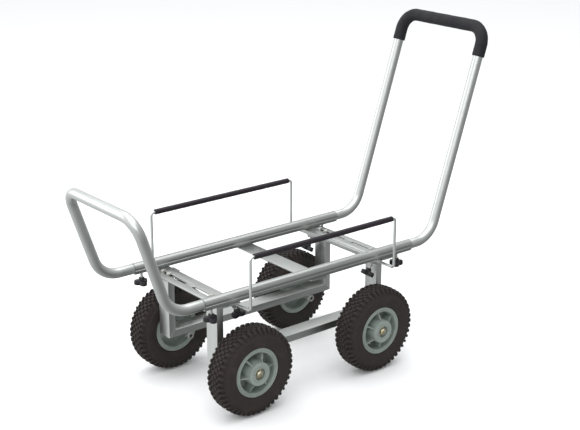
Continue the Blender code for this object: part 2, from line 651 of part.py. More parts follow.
def main():
    clear_scene()
    mats = {
        "aluminium": material("aluminium", (0.62, 0.64, 0.63), 0.34, 1.0),
        "foam": material("foam", (0.018, 0.017, 0.020), 0.85),
        "vinyl": material("vinyl", (0.020, 0.014, 0.018), 0.55),
        "rubber": material("rubber", (0.022, 0.018, 0.017), 0.80),
        "rim": material("rim", (0.26, 0.29, 0.275), 0.50),
        "knob": material("knob", (0.018, 0.016, 0.020), 0.45),
        "zinc": material("zinc", (0.66, 0.64, 0.54), 0.35, 1.0),
        "steel": material("steel", (0.60, 0.60, 0.58), 0.40, 1.0),
        "plug": material("plug", (0.10, 0.10, 0.10), 0.60),
        "bush": material("bush", (0.55, 0.54, 0.50), 0.55),
    }
    root = empty("cart", (-X_MID, 0.0, 0.0))
    build_rails(root, mats)
    build_handles(root, mats)
    build_plates(root, mats)
    build_frame(-1, "near", root, mats)
    build_frame(1, "far", root, mats)
    build_guard(-1, "near", root, mats)
    build_guard(1, "far", root, mats)
    build_clamps(root, mats)
    build_handle_knobs(root, mats)


main()
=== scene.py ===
"""Four-wheel aluminium garden cart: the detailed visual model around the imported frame.

Metres, +Z up. +X runs towards the tall rear handle and +Y towards the cart's far side.
"""
from __future__ import annotations

import json
import logging
import math
from dataclasses import dataclass, field
from enum import Enum
from typing import Callable, Iterable, Sequence

import bmesh
import bpy
from mathutils import Matrix, Vector

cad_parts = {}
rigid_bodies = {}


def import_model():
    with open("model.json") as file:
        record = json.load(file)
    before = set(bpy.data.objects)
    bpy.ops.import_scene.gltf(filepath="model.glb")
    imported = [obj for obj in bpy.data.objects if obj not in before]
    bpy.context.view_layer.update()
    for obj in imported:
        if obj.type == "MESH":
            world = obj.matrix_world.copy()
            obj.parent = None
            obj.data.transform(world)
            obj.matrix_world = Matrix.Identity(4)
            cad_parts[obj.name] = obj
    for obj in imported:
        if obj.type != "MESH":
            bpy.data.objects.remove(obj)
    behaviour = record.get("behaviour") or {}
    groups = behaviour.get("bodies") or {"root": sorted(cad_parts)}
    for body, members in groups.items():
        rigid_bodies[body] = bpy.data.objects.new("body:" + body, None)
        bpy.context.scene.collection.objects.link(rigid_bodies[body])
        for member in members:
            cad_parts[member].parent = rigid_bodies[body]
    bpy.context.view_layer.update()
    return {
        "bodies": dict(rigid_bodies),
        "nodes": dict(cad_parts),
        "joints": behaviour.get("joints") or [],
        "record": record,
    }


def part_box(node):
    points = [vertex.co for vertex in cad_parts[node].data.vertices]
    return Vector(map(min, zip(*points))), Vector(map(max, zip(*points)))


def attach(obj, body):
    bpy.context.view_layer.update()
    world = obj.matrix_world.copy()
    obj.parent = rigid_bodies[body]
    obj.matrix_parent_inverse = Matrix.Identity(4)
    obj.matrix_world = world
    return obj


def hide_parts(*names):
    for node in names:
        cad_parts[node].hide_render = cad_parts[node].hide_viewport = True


LOG = logging.getLogger("cart")
SIDES = (("near", -1), ("far", 1))
ENDS = ("front", "rear")
CLEAR = 0.0003
Point = Sequence[float]


# ---------------------------------------------------------------- shader writing


class Wire:
    """A shader socket that takes part in Python arithmetic."""

    def __init__(self, sheet: "Shader", socket: bpy.types.NodeSocket) -> None:
        """Keep the tree that the socket belongs to."""
        self.sheet = sheet
        self.socket = socket

    def _join(self, operation: str, first: object, second: object) -> "Wire":
        """Add one Math node for two values."""
        return self.sheet.node("ShaderNodeMath", {"operation": operation}, {0: first, 1: second})

    def __add__(self, other: object) -> "Wire":
        """self + other"""
        return self._join("ADD", self, other)

    def __radd__(self, other: object) -> "Wire":
        """other + self"""
        return self._join("ADD", other, self)

    def __sub__(self, other: object) -> "Wire":
        """self - other"""
        return self._join("SUBTRACT", self, other)

    def __rsub__(self, other: object) -> "Wire":
        """other - self"""
        return self._join("SUBTRACT", other, self)

    def __mul__(self, other: object) -> "Wire":
        """self * other"""
        return self._join("MULTIPLY", self, other)

    def __rmul__(self, other: object) -> "Wire":
        """other * self"""
        return self._join("MULTIPLY", other, self)

    def band(self, low: float, high: float) -> "Wire":
        """self mapped from low..high to 0..1, smoothly and clamped."""
        settings = {"interpolation_type": "SMOOTHSTEP"}
        return self.sheet.node("ShaderNodeMapRange", settings, {"Value": self, 1: low, 2: high})


class Shader:
    """Writes the node tree of one material."""

    def __init__(self, name: str) -> None:
        """Start a material that holds only its Principled BSDF and its output."""
        self.material = bpy.data.materials.new(name)
        self.material.use_nodes = True
        self.tree = self.material.node_tree
        self.surface = self.tree.nodes["Principled BSDF"]

    def node(self, kind: str, settings: dict | None = None, inputs: dict | None = None,
             out: int | str = 0) -> Wire:
        """Add one node.

        Args:
            kind: the node's type.
            settings: its properties, set before its sockets.
            inputs: values or wires by socket name or index.
            out: the output that is wanted.

        Returns:
            The wire of that output.
        """
        made = self.tree.nodes.new(kind)
        for key, value in (settings or {}).items():
            setattr(made, key, value)
        for key, value in (inputs or {}).items():
            self.feed(made.inputs[key], value)
        return Wire(self, made.outputs[out])

    def feed(self, socket: bpy.types.NodeSocket, value: object) -> None:
        """Link a wire to a socket, or set its value."""
        if isinstance(value, Wire):
            self.tree.links.new(value.socket, socket)
        else:
            socket.default_value = value

    def place(self, scale: Point = (1.0, 1.0, 1.0), attribute: str | None = None) -> Wire:
        """Pattern coordinates.

        Args:
            scale: repeats per metre on each axis.
            attribute: a piece's own vector attribute, or None for Object coordinates.

        Returns:
            The scaled coordinates.
        """
        if attribute:
            source = self.node("ShaderNodeAttribute", {"attribute_name": attribute}, out="Vector")
        else:
            source = self.node("ShaderNodeTexCoord", out="Object")
        return self.node("ShaderNodeMapping", None, {"Vector": source, "Scale": scale})

    def noise(self, where: Wire, scale: float, detail: float = 2.0, rough: float = 0.5) -> Wire:
        """Fractal noise from 0 to 1."""
        return self.node("ShaderNodeTexNoise", None,
                         {"Vector": where, "Scale": scale, "Detail": detail, "Roughness": rough})

    def cells(self, where: Wire, scale: float) -> Wire:
        """Distance field of random cells."""
        return self.node("ShaderNodeTexVoronoi", {"feature": "F1"}, {"Vector": where, "Scale": scale})

    def blend(self, mask: Wire | float, low: object, high: object) -> Wire:
        """Colour low where mask is 0 and high where it is 1."""
        made = self.tree.nodes.new("ShaderNodeMix")
        made.data_type = "RGBA"
        made.clamp_factor = True
        self.feed(made.inputs[0], mask)
        self.feed(made.inputs[6], low)
        self.feed(made.inputs[7], high)
        return Wire(self, made.outputs[2])

    def bump(self, height: Wire, depth: float, after: Wire | None = None) -> Wire:
        """Normal from a height that is depth metres tall."""
        inputs: dict = {"Height": height, "Distance": depth, "Strength": 1.0}
        if after is not None:
            inputs["Normal"] = after
        return self.node("ShaderNodeBump", None, inputs)

    def finish(self, **values: object) -> bpy.types.Material:
        """Set the surface's sockets, with spaces written as underscores."""
        for key, value in values.items():
            self.feed(self.surface.inputs[key.replace("_", " ")], value)
        return self.material


def rgb(red: float, green: float, blue: float) -> tuple[float, float, float, float]:
    """Opaque linear colour."""
    return (red, green, blue, 1.0)


class Grain(Enum):
    """Direction of the drawing lines in a metal."""

    ALONG_X = (3.0, 520.0, 520.0)
    ALONG_Y = (520.0, 3.0, 520.0)
    ALONG_Z = (520.0, 520.0, 3.0)
    ALONG_TUBE = (3.0, 421.0, 421.0)


@dataclass(frozen=True)
class SatinAluminium:
    """Mill-finished aluminium: drawing lines, cloudy oxide, small scuffs."""

    name: str
    grain: Grain
    tone: float = 0.60
    roughness: float = 0.34

    def make(self) -> bpy.types.Material:
        """Build the material."""
        sheet = Shader(self.name)
        attribute = "wrap" if self.grain is Grain.ALONG_TUBE else None
        plain = sheet.place(attribute=attribute)
        lines = sheet.noise(sheet.place(self.grain.value, attribute), 1.0, 3.0, 0.65)
        cloud = sheet.noise(plain, 38.0, 3.0, 0.6)
        fine = sheet.noise(plain, 900.0, 1.0)
        scuff = sheet.noise(sheet.place((60.0, 90.0, 60.0), attribute), 1.0, 5.0, 0.7).band(0.63, 0.74)
        light = rgb(self.tone * 1.06, self.tone * 1.08, self.tone * 1.05)
        dark = rgb(self.tone * 0.86, self.tone * 0.90, self.tone * 0.87)
        worn = rgb(self.tone * 0.78, self.tone * 0.79, self.tone * 0.78)
        mottled = sheet.blend(lines.band(0.30, 0.70) * 0.7 + cloud * 0.3, dark, light)
        colour = sheet.blend(scuff * 0.35, mottled, worn)
        rough = self.roughness - 0.07 + lines * 0.10 + cloud.band(0.35, 0.7) * 0.06 + scuff * 0.10
        normal = sheet.bump(lines * 0.7 + fine * 0.3, 0.00004)
        return sheet.finish(Base_Color=colour, Metallic=1.0, Roughness=rough, Normal=normal)


@dataclass(frozen=True)
class MouldedPlastic:
    """Injection-moulded plastic with an eroded grain and a little dust."""

    name: str
    colour: tuple[float, float, float]
    dust: tuple[float, float, float]
    roughness: float = 0.45
    grain: float = 1600.0
    depth: float = 0.00004
    gloss: float = 0.4

    def make(self) -> bpy.types.Material:
        """Build the material."""
        sheet = Shader(self.name)
        plain = sheet.place()
        cloud = sheet.noise(plain, 55.0, 4.0, 0.6)
        grit = sheet.noise(plain, self.grain, 2.0)
        flow = sheet.noise(sheet.place((14.0, 30.0, 14.0)), 1.0, 2.0)
        base = sheet.blend(flow.band(0.3, 0.7), rgb(*(value * 0.92 for value in self.colour)),
                           rgb(*(value * 1.08 for value in self.colour)))
        colour = sheet.blend(cloud.band(0.5, 0.85) * 0.35, base, rgb(*self.dust))
        rough = self.roughness + cloud.band(0.45, 0.8) * 0.16 + grit * 0.06
        return sheet.finish(Base_Color=colour, Roughness=rough, Normal=sheet.bump(grit, self.depth),
                            Specular_IOR_Level=self.gloss)


@dataclass(frozen=True)
class TyreRubber:
    """Brown-black tyre rubber: dusty, matt, with a fine pebbled skin."""

    name: str = "tyre_rubber"
    colour: tuple[float, float, float] = (0.0190, 0.0138, 0.0124)
    dust: tuple[float, float, float] = (0.068, 0.054, 0.045)

    def make(self) -> bpy.types.Material:
        """Build the material."""
        sheet = Shader(self.name)
        plain = sheet.place()
        patches = sheet.noise(plain, 26.0, 5.0, 0.65)
        pebble = sheet.cells(plain, 720.0)
        grit = sheet.noise(plain, 1500.0, 2.0)
        base = sheet.blend(grit.band(0.3, 0.8), rgb(*self.colour),
                           rgb(*(value * 1.45 for value in self.colour)))
        colour = sheet.blend(patches.band(0.48, 0.80) * 0.42, base, rgb(*self.dust))
        rough = 0.66 + patches.band(0.4, 0.8) * 0.16 + grit * 0.06
        normal = sheet.bump(pebble * 0.6 + grit * 0.4, 0.00012)
        return sheet.finish(Base_Color=colour, Roughness=rough, Normal=normal, Specular_IOR_Level=0.4)


@dataclass(frozen=True)
class FoamSkin:
    """Closed-cell foam sleeve: open pores with painted shade in them, and a soft, almost black skin."""

    name: str = "grip_foam"
    colour: tuple[float, float, float] = (0.0090, 0.0088, 0.0115)
    pores: float = 950.0
    depth: float = 0.00018
    roughness: float = 0.58

    def make(self) -> bpy.types.Material:
        """Build the material."""
        sheet = Shader(self.name)
        plain = sheet.place(attribute="wrap")
        pores = sheet.cells(plain, self.pores)
        press = sheet.noise(plain, 30.0, 4.0, 0.55)
        # Painted shade: each pore is painted darker towards its middle, where the bump sinks it, and lighter
        # on the cell rims.
        colour = sheet.blend(pores.band(0.0, 0.7), rgb(*(value * 0.55 for value in self.colour)),
                             rgb(*(value * 1.5 for value in self.colour)))
        rough = self.roughness + press.band(0.3, 0.8) * 0.16
        normal = sheet.bump(pores, self.depth, sheet.bump(press, 0.0012))
        return sheet.finish(Base_Color=colour, Roughness=rough, Normal=normal, Specular_IOR_Level=0.3)


@dataclass(frozen=True)
class VinylSleeve:
    """Satin vinyl tube: faint draw lines and stretch wrinkles, with painted shade in their troughs and
    painted light on their crests.
    """

    name: str = "guard_vinyl"
    colour: tuple[float, float, float] = (0.0120, 0.0085, 0.0120)

    def make(self) -> bpy.types.Material:
        """Build the material."""
        sheet = Shader(self.name)
        draw = sheet.noise(sheet.place((2.0, 500.0, 500.0), "wrap"), 1.0, 2.0)
        wrinkle = sheet.noise(sheet.place((140.0, 40.0, 40.0), "wrap"), 1.0, 3.0, 0.6)
        # Painted light and shade: the colour is darker in the wrinkles' troughs and lighter on their crests,
        # following the bump.
        colour = sheet.blend(wrinkle.band(0.35, 0.75), rgb(*self.colour),
                             rgb(*(value * 1.7 for value in self.colour)))
        rough = 0.36 + wrinkle * 0.14 + draw * 0.06
        normal = sheet.bump(wrinkle * 0.8 + draw * 0.2, 0.00022)
        return sheet.finish(Base_Color=colour, Roughness=rough, Normal=normal, Specular_IOR_Level=0.35)


@dataclass(frozen=True)
class ZincPlate:
    """Zinc plating: spangled, faintly yellow in places, darker in the pits."""

    name: str
    pale: tuple[float, float, float] = (0.58, 0.59, 0.58)
    straw: tuple[float, float, float] = (0.52, 0.50, 0.43)

    def make(self) -> bpy.types.Material:
        """Build the material."""
        sheet = Shader(self.name)
        plain = sheet.place()
        tint = sheet.noise(plain, 110.0, 3.0, 0.6)
        spangle = sheet.cells(plain, 420.0)
        pits = sheet.noise(plain, 700.0, 3.0).band(0.62, 0.75)
        tinted = sheet.blend(tint.band(0.42, 0.66), rgb(*self.pale), rgb(*self.straw))
        colour = sheet.blend(pits * 0.6, tinted, rgb(0.18, 0.17, 0.15))
        rough = 0.24 + spangle * 0.18 + pits * 0.25
        normal = sheet.bump(1.0 - pits, 0.00005, sheet.bump(spangle, 0.00003))
        return sheet.finish(Base_Color=colour, Metallic=1.0, Roughness=rough, Normal=normal)


@dataclass(frozen=True)
class WeldMetal:
    """Aluminium weld bead with a grey smut beside it."""

    name: str = "weld_metal"

    def make(self) -> bpy.types.Material:
        """Build the material."""
        sheet = Shader(self.name)
        plain = sheet.place()
        smut = sheet.noise(plain, 160.0, 4.0, 0.7)
        colour = sheet.blend(smut.band(0.4, 0.7), rgb(0.56, 0.57, 0.56), rgb(0.24, 0.24, 0.23))
        return sheet.finish(Base_Color=colour, Metallic=1.0, Roughness=0.30 + smut * 0.3,
                            Normal=sheet.bump(smut, 0.00015))


@dataclass(frozen=True)
class Floor:
    """Plain pale studio floor."""

    name: str = "studio_floor"

    def make(self) -> bpy.types.Material:
        """Build the material."""
        sheet = Shader(self.name)
        soft = sheet.noise(sheet.place(), 2.0)
        colour = sheet.blend(soft, rgb(0.95, 0.95, 0.95), rgb(0.97, 0.97, 0.97))
        return sheet.finish(Base_Color=colour, Roughness=0.9, Specular_IOR_Level=0.1)


class Finishes:
    """Every finish of the cart, made once and looked up by name."""

    def __init__(self) -> None:
        """Build all the materials."""
        recipes = (
            SatinAluminium("rail_aluminium", Grain.ALONG_X, 0.44, 0.33),
            SatinAluminium("plate_aluminium", Grain.ALONG_Y, 0.46, 0.40),
            # Painted light and shade: the legs and the bar are one tube, but the legs' copy is painted
            # lighter (0.64) and the bar's darker (0.54).
            SatinAluminium("leg_aluminium_lit", Grain.ALONG_Z, 0.64, 0.38),
            SatinAluminium("bar_aluminium_shaded", Grain.ALONG_X, 0.54, 0.38),
            SatinAluminium("tube_aluminium", Grain.ALONG_TUBE, 0.62, 0.34),
            SatinAluminium("rod_aluminium", Grain.ALONG_TUBE, 0.80, 0.36),
            SatinAluminium("clamp_alloy", Grain.ALONG_Z, 0.50, 0.42),
            SatinAluminium("axle_steel", Grain.ALONG_Y, 0.52, 0.36),
            MouldedPlastic("rim_plastic", (0.215, 0.250, 0.228), (0.36, 0.37, 0.33), 0.36),
            MouldedPlastic("knob_plastic", (0.0120, 0.0100, 0.0140), (0.05, 0.045, 0.05), 0.36, 1200.0),
            MouldedPlastic("plug_plastic", (0.030, 0.030, 0.030), (0.09, 0.09, 0.085), 0.55),
            ZincPlate("zinc_yellow", (0.66, 0.64, 0.52), (0.62, 0.52, 0.27)),
            MouldedPlastic("bush_plastic", (0.42, 0.41, 0.37), (0.30, 0.28, 0.24), 0.45),
            TyreRubber(), FoamSkin(), VinylSleeve(), ZincPlate("zinc_plate"), WeldMetal(), Floor(),
        )
        self.made = {recipe.name: recipe.make() for recipe in recipes}

    def __getitem__(self, name: str) -> bpy.types.Material:
        """The material of that name."""
        return self.made[name]


# ---------------------------------------------------------------- mesh tools


def round_corners(outline: Iterable[tuple[float, float, float]], steps: int = 4) -> list[tuple[float, float]]:
    """Round the corners of a closed flat outline.

    Args:
        outline: corners as (a, b, radius); radius 0 keeps the corner sharp.
        steps: number of chords in each arc.

    Returns:
        The outline's points.
    """
    corners = list(outline)
    points: list[tuple[float, float]] = []
    for index, (a, b, radius) in enumerate(corners):
        here = Vector((a, b))
        if radius <= 0.0:
            points.append((a, b))
            continue
        back = Vector(corners[index - 1][:2]) - here
        ahead = Vector(corners[(index + 1) % len(corners)][:2]) - here
        reach = min(back.length, ahead.length) * 0.49
        back.normalize()
        ahead.normalize()
        half = math.acos(max(-1.0, min(1.0, back.dot(ahead)))) / 2
        if half > math.pi / 2 - 0.01:
            points.append((a, b))
            continue
        cut = min(radius / math.tan(half), reach)
        radius = cut * math.tan(half)
        centre = here + (back + ahead).normalized() * (radius / math.sin(half))
        first = here + back * cut - centre
        last = here + ahead * cut - centre
        sweep = math.atan2(first.x * last.y - first.y * last.x, first.dot(last))
        for step in range(steps + 1):
            turned = Matrix.Rotation(sweep * step / steps, 2) @ first
            points.append((centre.x + turned.x, centre.y + turned.y))
    return points


def rounded_path(corners: Sequence[Point], radii: Sequence[float], steps: int) -> list[Vector]:
    """Replace each inner corner of a polyline by an arc of the given radius."""
    points = [Vector(corners[0])]
    for index in range(1, len(corners) - 1):
        corner = Vector(corners[index])
        back = (Vector(corners[index - 1]) - corner).normalized()
        ahead = (Vector(corners[index + 1]) - corner).normalized()
        half = back.angle(ahead) / 2
        radius = radii[index - 1]
        centre = corner + (back + ahead).normalized() * (radius / math.sin(half))
        first = corner + back * (radius / math.tan(half)) - centre
        last = corner + ahead * (radius / math.tan(half)) - centre
        normal = first.cross(last).normalized()
        sweep = first.angle(last)
        for step in range(steps + 1):
            points.append(centre + Matrix.Rotation(sweep * step / steps, 3, normal) @ first)
    points.append(Vector(corners[-1]))
    return points


class Solid:
    """Makers of closed meshes, each with its faces pointing outwards."""

    @staticmethod
    def settle(bm: bmesh.types.BMesh, name: str, crease: float = 32.0) -> bpy.types.Mesh:
        """Turn a bmesh into a smooth-shaded mesh with creases above an angle in degrees."""
        bmesh.ops.recalc_face_normals(bm, faces=bm.faces)
        mesh = bpy.data.meshes.new(name)
        bm.to_mesh(mesh)
        bm.free()
        mesh.shade_smooth()
        mesh.set_sharp_from_angle(angle=math.radians(crease))
        return mesh

    @staticmethod
    def turned(profile: Sequence[tuple[float, float]], segments: int, name: str = "turned",
               crease: float = 32.0) -> bpy.types.Mesh:
        """Revolve a closed (radius, along) profile about the Y axis."""
        bm = bmesh.new()
        rings = []
        for step in range(segments):
            angle = 2 * math.pi * step / segments
            rings.append([bm.verts.new((r * math.cos(angle), y, r * math.sin(angle))) for r, y in profile])
        for step in range(segments):
            here, there = rings[step], rings[(step + 1) % segments]
            for i in range(len(profile)):
                j = (i + 1) % len(profile)
                bm.faces.new((here[i], here[j], there[j], there[i]))
        bmesh.ops.remove_doubles(bm, verts=bm.verts, dist=1e-6)
        return Solid.settle(bm, name, crease)

    @staticmethod
    def stacked(rings: Sequence[tuple[float, Callable[[float], float]]], segments: int, name: str = "stacked",
                crease: float = 32.0) -> bpy.types.Mesh:
        """Loft rings about the Z axis, each a height and a radius by angle, and close both ends."""
        bm = bmesh.new()
        loops = []
        for height, radius in rings:
            loop = []
            for k in range(segments):
                angle = 2 * math.pi * k / segments
                reach = radius(angle)
                loop.append(bm.verts.new((reach * math.cos(angle), reach * math.sin(angle), height)))
            loops.append(loop)
        for here, there in zip(loops, loops[1:]):
            for k in range(segments):
                j = (k + 1) % segments
                bm.faces.new((here[k], here[j], there[j], there[k]))
        bm.faces.new(loops[0])
        bm.faces.new(loops[-1])
        return Solid.settle(bm, name, crease)

    @staticmethod
    def prism(outline: Sequence[tuple[float, float]], axis: str, low: float, high: float, name: str = "prism",
              crease: float = 32.0) -> bpy.types.Mesh:
        """Extrude a flat outline along an axis; the outline's pair is the other two axes in X, Y, Z order."""
        order = {"X": (2, 0, 1), "Y": (0, 2, 1), "Z": (0, 1, 2)}[axis]
        bm = bmesh.new()
        loops = []
        for level in (low, high):
            loop = []
            for a, b in outline:
                values = (a, b, level)
                loop.append(bm.verts.new([values[order[i]] for i in range(3)]))
            loops.append(loop)
        count = len(outline)
        for k in range(count):
            j = (k + 1) % count
            bm.faces.new((loops[0][k], loops[0][j], loops[1][j], loops[1][k]))
        bm.faces.new(loops[0])
        bm.faces.new(loops[1])
        return Solid.settle(bm, name, crease)

    @staticmethod
    def moved(mesh: bpy.types.Mesh, matrix: Matrix) -> bpy.types.Mesh:
        """A transformed copy of a mesh."""
        copy = mesh.copy()
        copy.transform(matrix)
        if matrix.determinant() < 0:
            copy.flip_normals()
        return copy

    @staticmethod
    def joined(meshes: Sequence[bpy.types.Mesh], name: str) -> bpy.types.Mesh:
        """Several meshes as one, keeping their creases."""
        bm = bmesh.new()
        for mesh in meshes:
            bm.from_mesh(mesh)
        made = bpy.data.meshes.new(name)
        bm.to_mesh(made)
        bm.free()
        return made

    @staticmethod
    def evaluated(mesh: bpy.types.Mesh, fit: Callable[[bpy.types.Object], None], name: str) -> bpy.types.Mesh:
        """The mesh after the modifiers that fit() adds."""
        helper = bpy.data.objects.new(name + "_work", mesh)
        bpy.context.collection.objects.link(helper)
        fit(helper)
        bpy.context.view_layer.update()
        graph = bpy.context.evaluated_depsgraph_get()
        made = bpy.data.meshes.new_from_object(helper.evaluated_get(graph), preserve_all_data_layers=True,
                                               depsgraph=graph)
        made.name = name
        bpy.data.objects.remove(helper)
        return made

    @staticmethod
    def carved(mesh: bpy.types.Mesh, cutters: Sequence[bpy.types.Mesh], name: str,
               crease: float = 32.0) -> bpy.types.Mesh:
        """The mesh with the cutters taken out of it."""
        tools = []
        for index, cutter in enumerate(cutters):
            tool = bpy.data.objects.new(f"{name}_cut{index}", cutter)
            bpy.context.collection.objects.link(tool)
            tools.append(tool)

        def fit(helper: bpy.types.Object) -> None:
            """Add one Boolean for each cutter."""
            for tool in tools:
                modifier = helper.modifiers.new(tool.name, "BOOLEAN")
                modifier.operation = "DIFFERENCE"
                modifier.solver = "EXACT"
                modifier.object = tool

        made = Solid.evaluated(mesh, fit, name)
        for tool in tools:
            bpy.data.objects.remove(tool)
        made.shade_smooth()
        made.set_sharp_from_angle(angle=math.radians(crease))
        return made

    @staticmethod
    def eased(mesh: bpy.types.Mesh, width: float, name: str, segments: int = 2,
              above: float = 35.0) -> bpy.types.Mesh:
        """The mesh with its sharp edges rounded by width."""

        def fit(helper: bpy.types.Object) -> None:
            """Add the bevel."""
            modifier = helper.modifiers.new("ease", "BEVEL")
            modifier.width = width
            modifier.segments = segments
            modifier.limit_method = "ANGLE"
            modifier.angle_limit = math.radians(above)
            modifier.harden_normals = False
            modifier.use_clamp_overlap = True

        made = Solid.evaluated(mesh, fit, name)
        made.shade_smooth()
        made.set_sharp_from_angle(angle=math.radians(32.0))
        return made


def rod_mesh(radius: float, axis: str, low: float, high: float, at: Point = (0.0, 0.0),
             segments: int = 32) -> bpy.types.Mesh:
    """Plain cutter rod along an axis."""
    outline = [(at[0] + radius * math.cos(2 * math.pi * k / segments),
                at[1] + radius * math.sin(2 * math.pi * k / segments)) for k in range(segments)]
    return Solid.prism(outline, axis, low, high, "rod")


def threaded_stud(radius: float, pitch: float, low: float, high: float, name: str = "stud") -> bpy.types.Mesh:
    """Screw thread about the Z axis as one helical surface with closed ends."""
    around, per_turn = 20, 6
    levels = max(2, int((high - low) / pitch * per_turn))
    depth = 0.28 * pitch

    def ring(level: int) -> Callable[[float], float]:
        """Radius by angle at one level."""
        height = low + (high - low) * level / levels

        def radius_at(angle: float) -> float:
            """Saw-tooth thread form."""
            phase = (height / pitch - angle / (2 * math.pi)) % 1.0
            return radius - depth * abs(2 * phase - 1.0)

        return radius_at

    rings = [(low + (high - low) * level / levels, ring(level)) for level in range(levels + 1)]
    return Solid.stacked(rings, around, name, 60.0)


def hexagon(apothem: float) -> Callable[[float], float]:
    """Radius by angle of a hexagon."""
    return lambda angle: apothem / math.cos((angle % (math.pi / 3)) - math.pi / 6)


def circle(radius: float) -> Callable[[float], float]:
    """Constant radius."""
    return lambda angle: radius


def hex_bolt(shank_r: float, across: float, height: float, length: float,
             washer: tuple[float, float]) -> list[bpy.types.Mesh]:
    """Hexagon bolt and washer on the Z axis, the washer's underside at z = 0.

    Args:
        shank_r: shank radius.
        across: width across the flats.
        height: head height.
        length: shank length below z = 0.
        washer: its radius and thickness.

    Returns:
        The meshes of head, washer and shank.
    """
    wide, thick = washer
    flat = across / 2
    top = thick + height
    head = Solid.stacked([
        (thick, circle(flat * 0.97)),
        (thick + 0.0003, hexagon(flat * 0.99)),
        (thick + 0.0005, hexagon(flat)),
        (top - 0.0010, hexagon(flat)),
        (top - 0.0004, lambda angle: min(hexagon(flat)(angle), flat * 1.06)),
        (top, circle(flat * 0.90)),
        (top, circle(flat * 0.60)),
        (top - 0.0004, circle(flat * 0.55)),
    ], 36, "bolt_head", 25.0)
    ring = Solid.turned(round_corners([(shank_r, 0.0, 0.0), (wide, 0.0, 0.0003), (wide, thick, 0.0004),
                                       (shank_r, thick, 0.0)], 2), 36, "washer")
    ring = Solid.moved(ring, Matrix.Rotation(math.pi / 2, 4, "X"))
    shank = threaded_stud(shank_r, 0.00125, -length, 0.0004, "shank")
    return [head, ring, shank]


# ---------------------------------------------------------------- geometry trees


class Tree:
    """Writes one Geometry Nodes tree with named inputs."""

    def __init__(self, name: str, inputs: Sequence[tuple[str, str]]) -> None:
        """Start the tree.

        Args:
            name: the tree's name.
            inputs: name and socket type of each input after the geometry.
        """
        self.group = bpy.data.node_groups.new(name, "GeometryNodeTree")
        face = self.group.interface
        face.new_socket(name="Geometry", in_out="INPUT", socket_type="NodeSocketGeometry")
        self.idents = {}
        for label, kind in inputs:
            self.idents[label] = face.new_socket(name=label, in_out="INPUT", socket_type=kind).identifier
        face.new_socket(name="Geometry", in_out="OUTPUT", socket_type="NodeSocketGeometry")
        self.start = self.group.nodes.new("NodeGroupInput")
        self.end = self.group.nodes.new("NodeGroupOutput")

    def node(self, kind: str, settings: dict | None = None, inputs: dict | None = None) -> bpy.types.Node:
        """Add one node with its settings and its socket values or links."""
        made = self.group.nodes.new(kind)
        for key, value in (settings or {}).items():
            setattr(made, key, value)
        for key, value in (inputs or {}).items():
            if isinstance(value, bpy.types.NodeSocket):
                self.group.links.new(value, made.inputs[key])
            else:
                made.inputs[key].default_value = value
        return made

    def given(self, label: str) -> bpy.types.NodeSocket:
        """The output of the group input of that name."""
        return self.start.outputs[label]

    def maths(self, operation: str, first: object, second: object) -> bpy.types.NodeSocket:
        """One Math node."""
        return self.node("ShaderNodeMath", {"operation": operation}, {0: first, 1: second}).outputs[0]

    def close(self, geometry: bpy.types.NodeSocket) -> None:
        """End in Realize Instances and Set Material."""
        real = self.node("GeometryNodeRealizeInstances", None, {0: geometry}).outputs[0]
        dressed = self.node("GeometryNodeSetMaterial", None,
                            {"Geometry": real, "Material": self.given("Material")})
        self.group.links.new(dressed.outputs[0], self.end.inputs[0])

    def run(self, mesh: bpy.types.Mesh, name: str, **values: object) -> bpy.types.Mesh:
        """Run the tree on a mesh.

        Args:
            mesh: the input geometry.
            name: name of the mesh that is made.
            values: the named inputs, with spaces written as underscores.

        Returns:
            A plain mesh.
        """

        def fit(helper: bpy.types.Object) -> None:
            """Add the modifier and set its inputs by identifier."""
            modifier = helper.modifiers.new(self.group.name, "NODES")
            modifier.node_group = self.group
            for key, value in values.items():
                modifier[self.idents[key.replace("_", " ")]] = value

        return Solid.evaluated(mesh, fit, name)


class RingTree(Tree):
    """Repeats its input round the Y axis."""

    def __init__(self) -> None:
        """Build the tree."""
        super().__init__("repeat_round_axle", (("Count", "NodeSocketInt"), ("Start", "NodeSocketFloat"),
                                               ("Material", "NodeSocketMaterial")))
        points = self.node("GeometryNodeMeshLine", {"mode": "OFFSET"},
                           {"Count": self.given("Count"), "Offset": (0.0, 0.0, 0.0)}).outputs[0]
        index = self.node("GeometryNodeInputIndex").outputs[0]
        share = self.maths("DIVIDE", index, self.given("Count"))
        turn = self.maths("ADD", self.maths("MULTIPLY", share, 2 * math.pi), self.given("Start"))
        spin = self.node("ShaderNodeCombineXYZ", None, {"Y": turn}).outputs[0]
        copies = self.node("GeometryNodeInstanceOnPoints", None,
                           {"Points": points, "Instance": self.given("Geometry"), "Rotation": spin})
        self.close(copies.outputs[0])


class RowTree(Tree):
    """Repeats its input along a straight row."""

    def __init__(self) -> None:
        """Build the tree."""
        super().__init__("repeat_in_row", (("Count", "NodeSocketInt"), ("Step", "NodeSocketVector"),
                                           ("Jitter", "NodeSocketFloat"), ("Material", "NodeSocketMaterial")))
        points = self.node("GeometryNodeMeshLine", {"mode": "OFFSET"},
                           {"Count": self.given("Count"), "Offset": self.given("Step")}).outputs[0]
        low = self.maths("SUBTRACT", 1.0, self.given("Jitter"))
        high = self.maths("ADD", 1.0, self.given("Jitter"))
        size = self.node("FunctionNodeRandomValue", {"data_type": "FLOAT"},
                         {"Min": low, "Max": high, "Seed": 7})
        copies = self.node("GeometryNodeInstanceOnPoints", None,
                           {"Points": points, "Instance": self.given("Geometry"), "Scale": size.outputs[1]})
        self.close(copies.outputs[0])


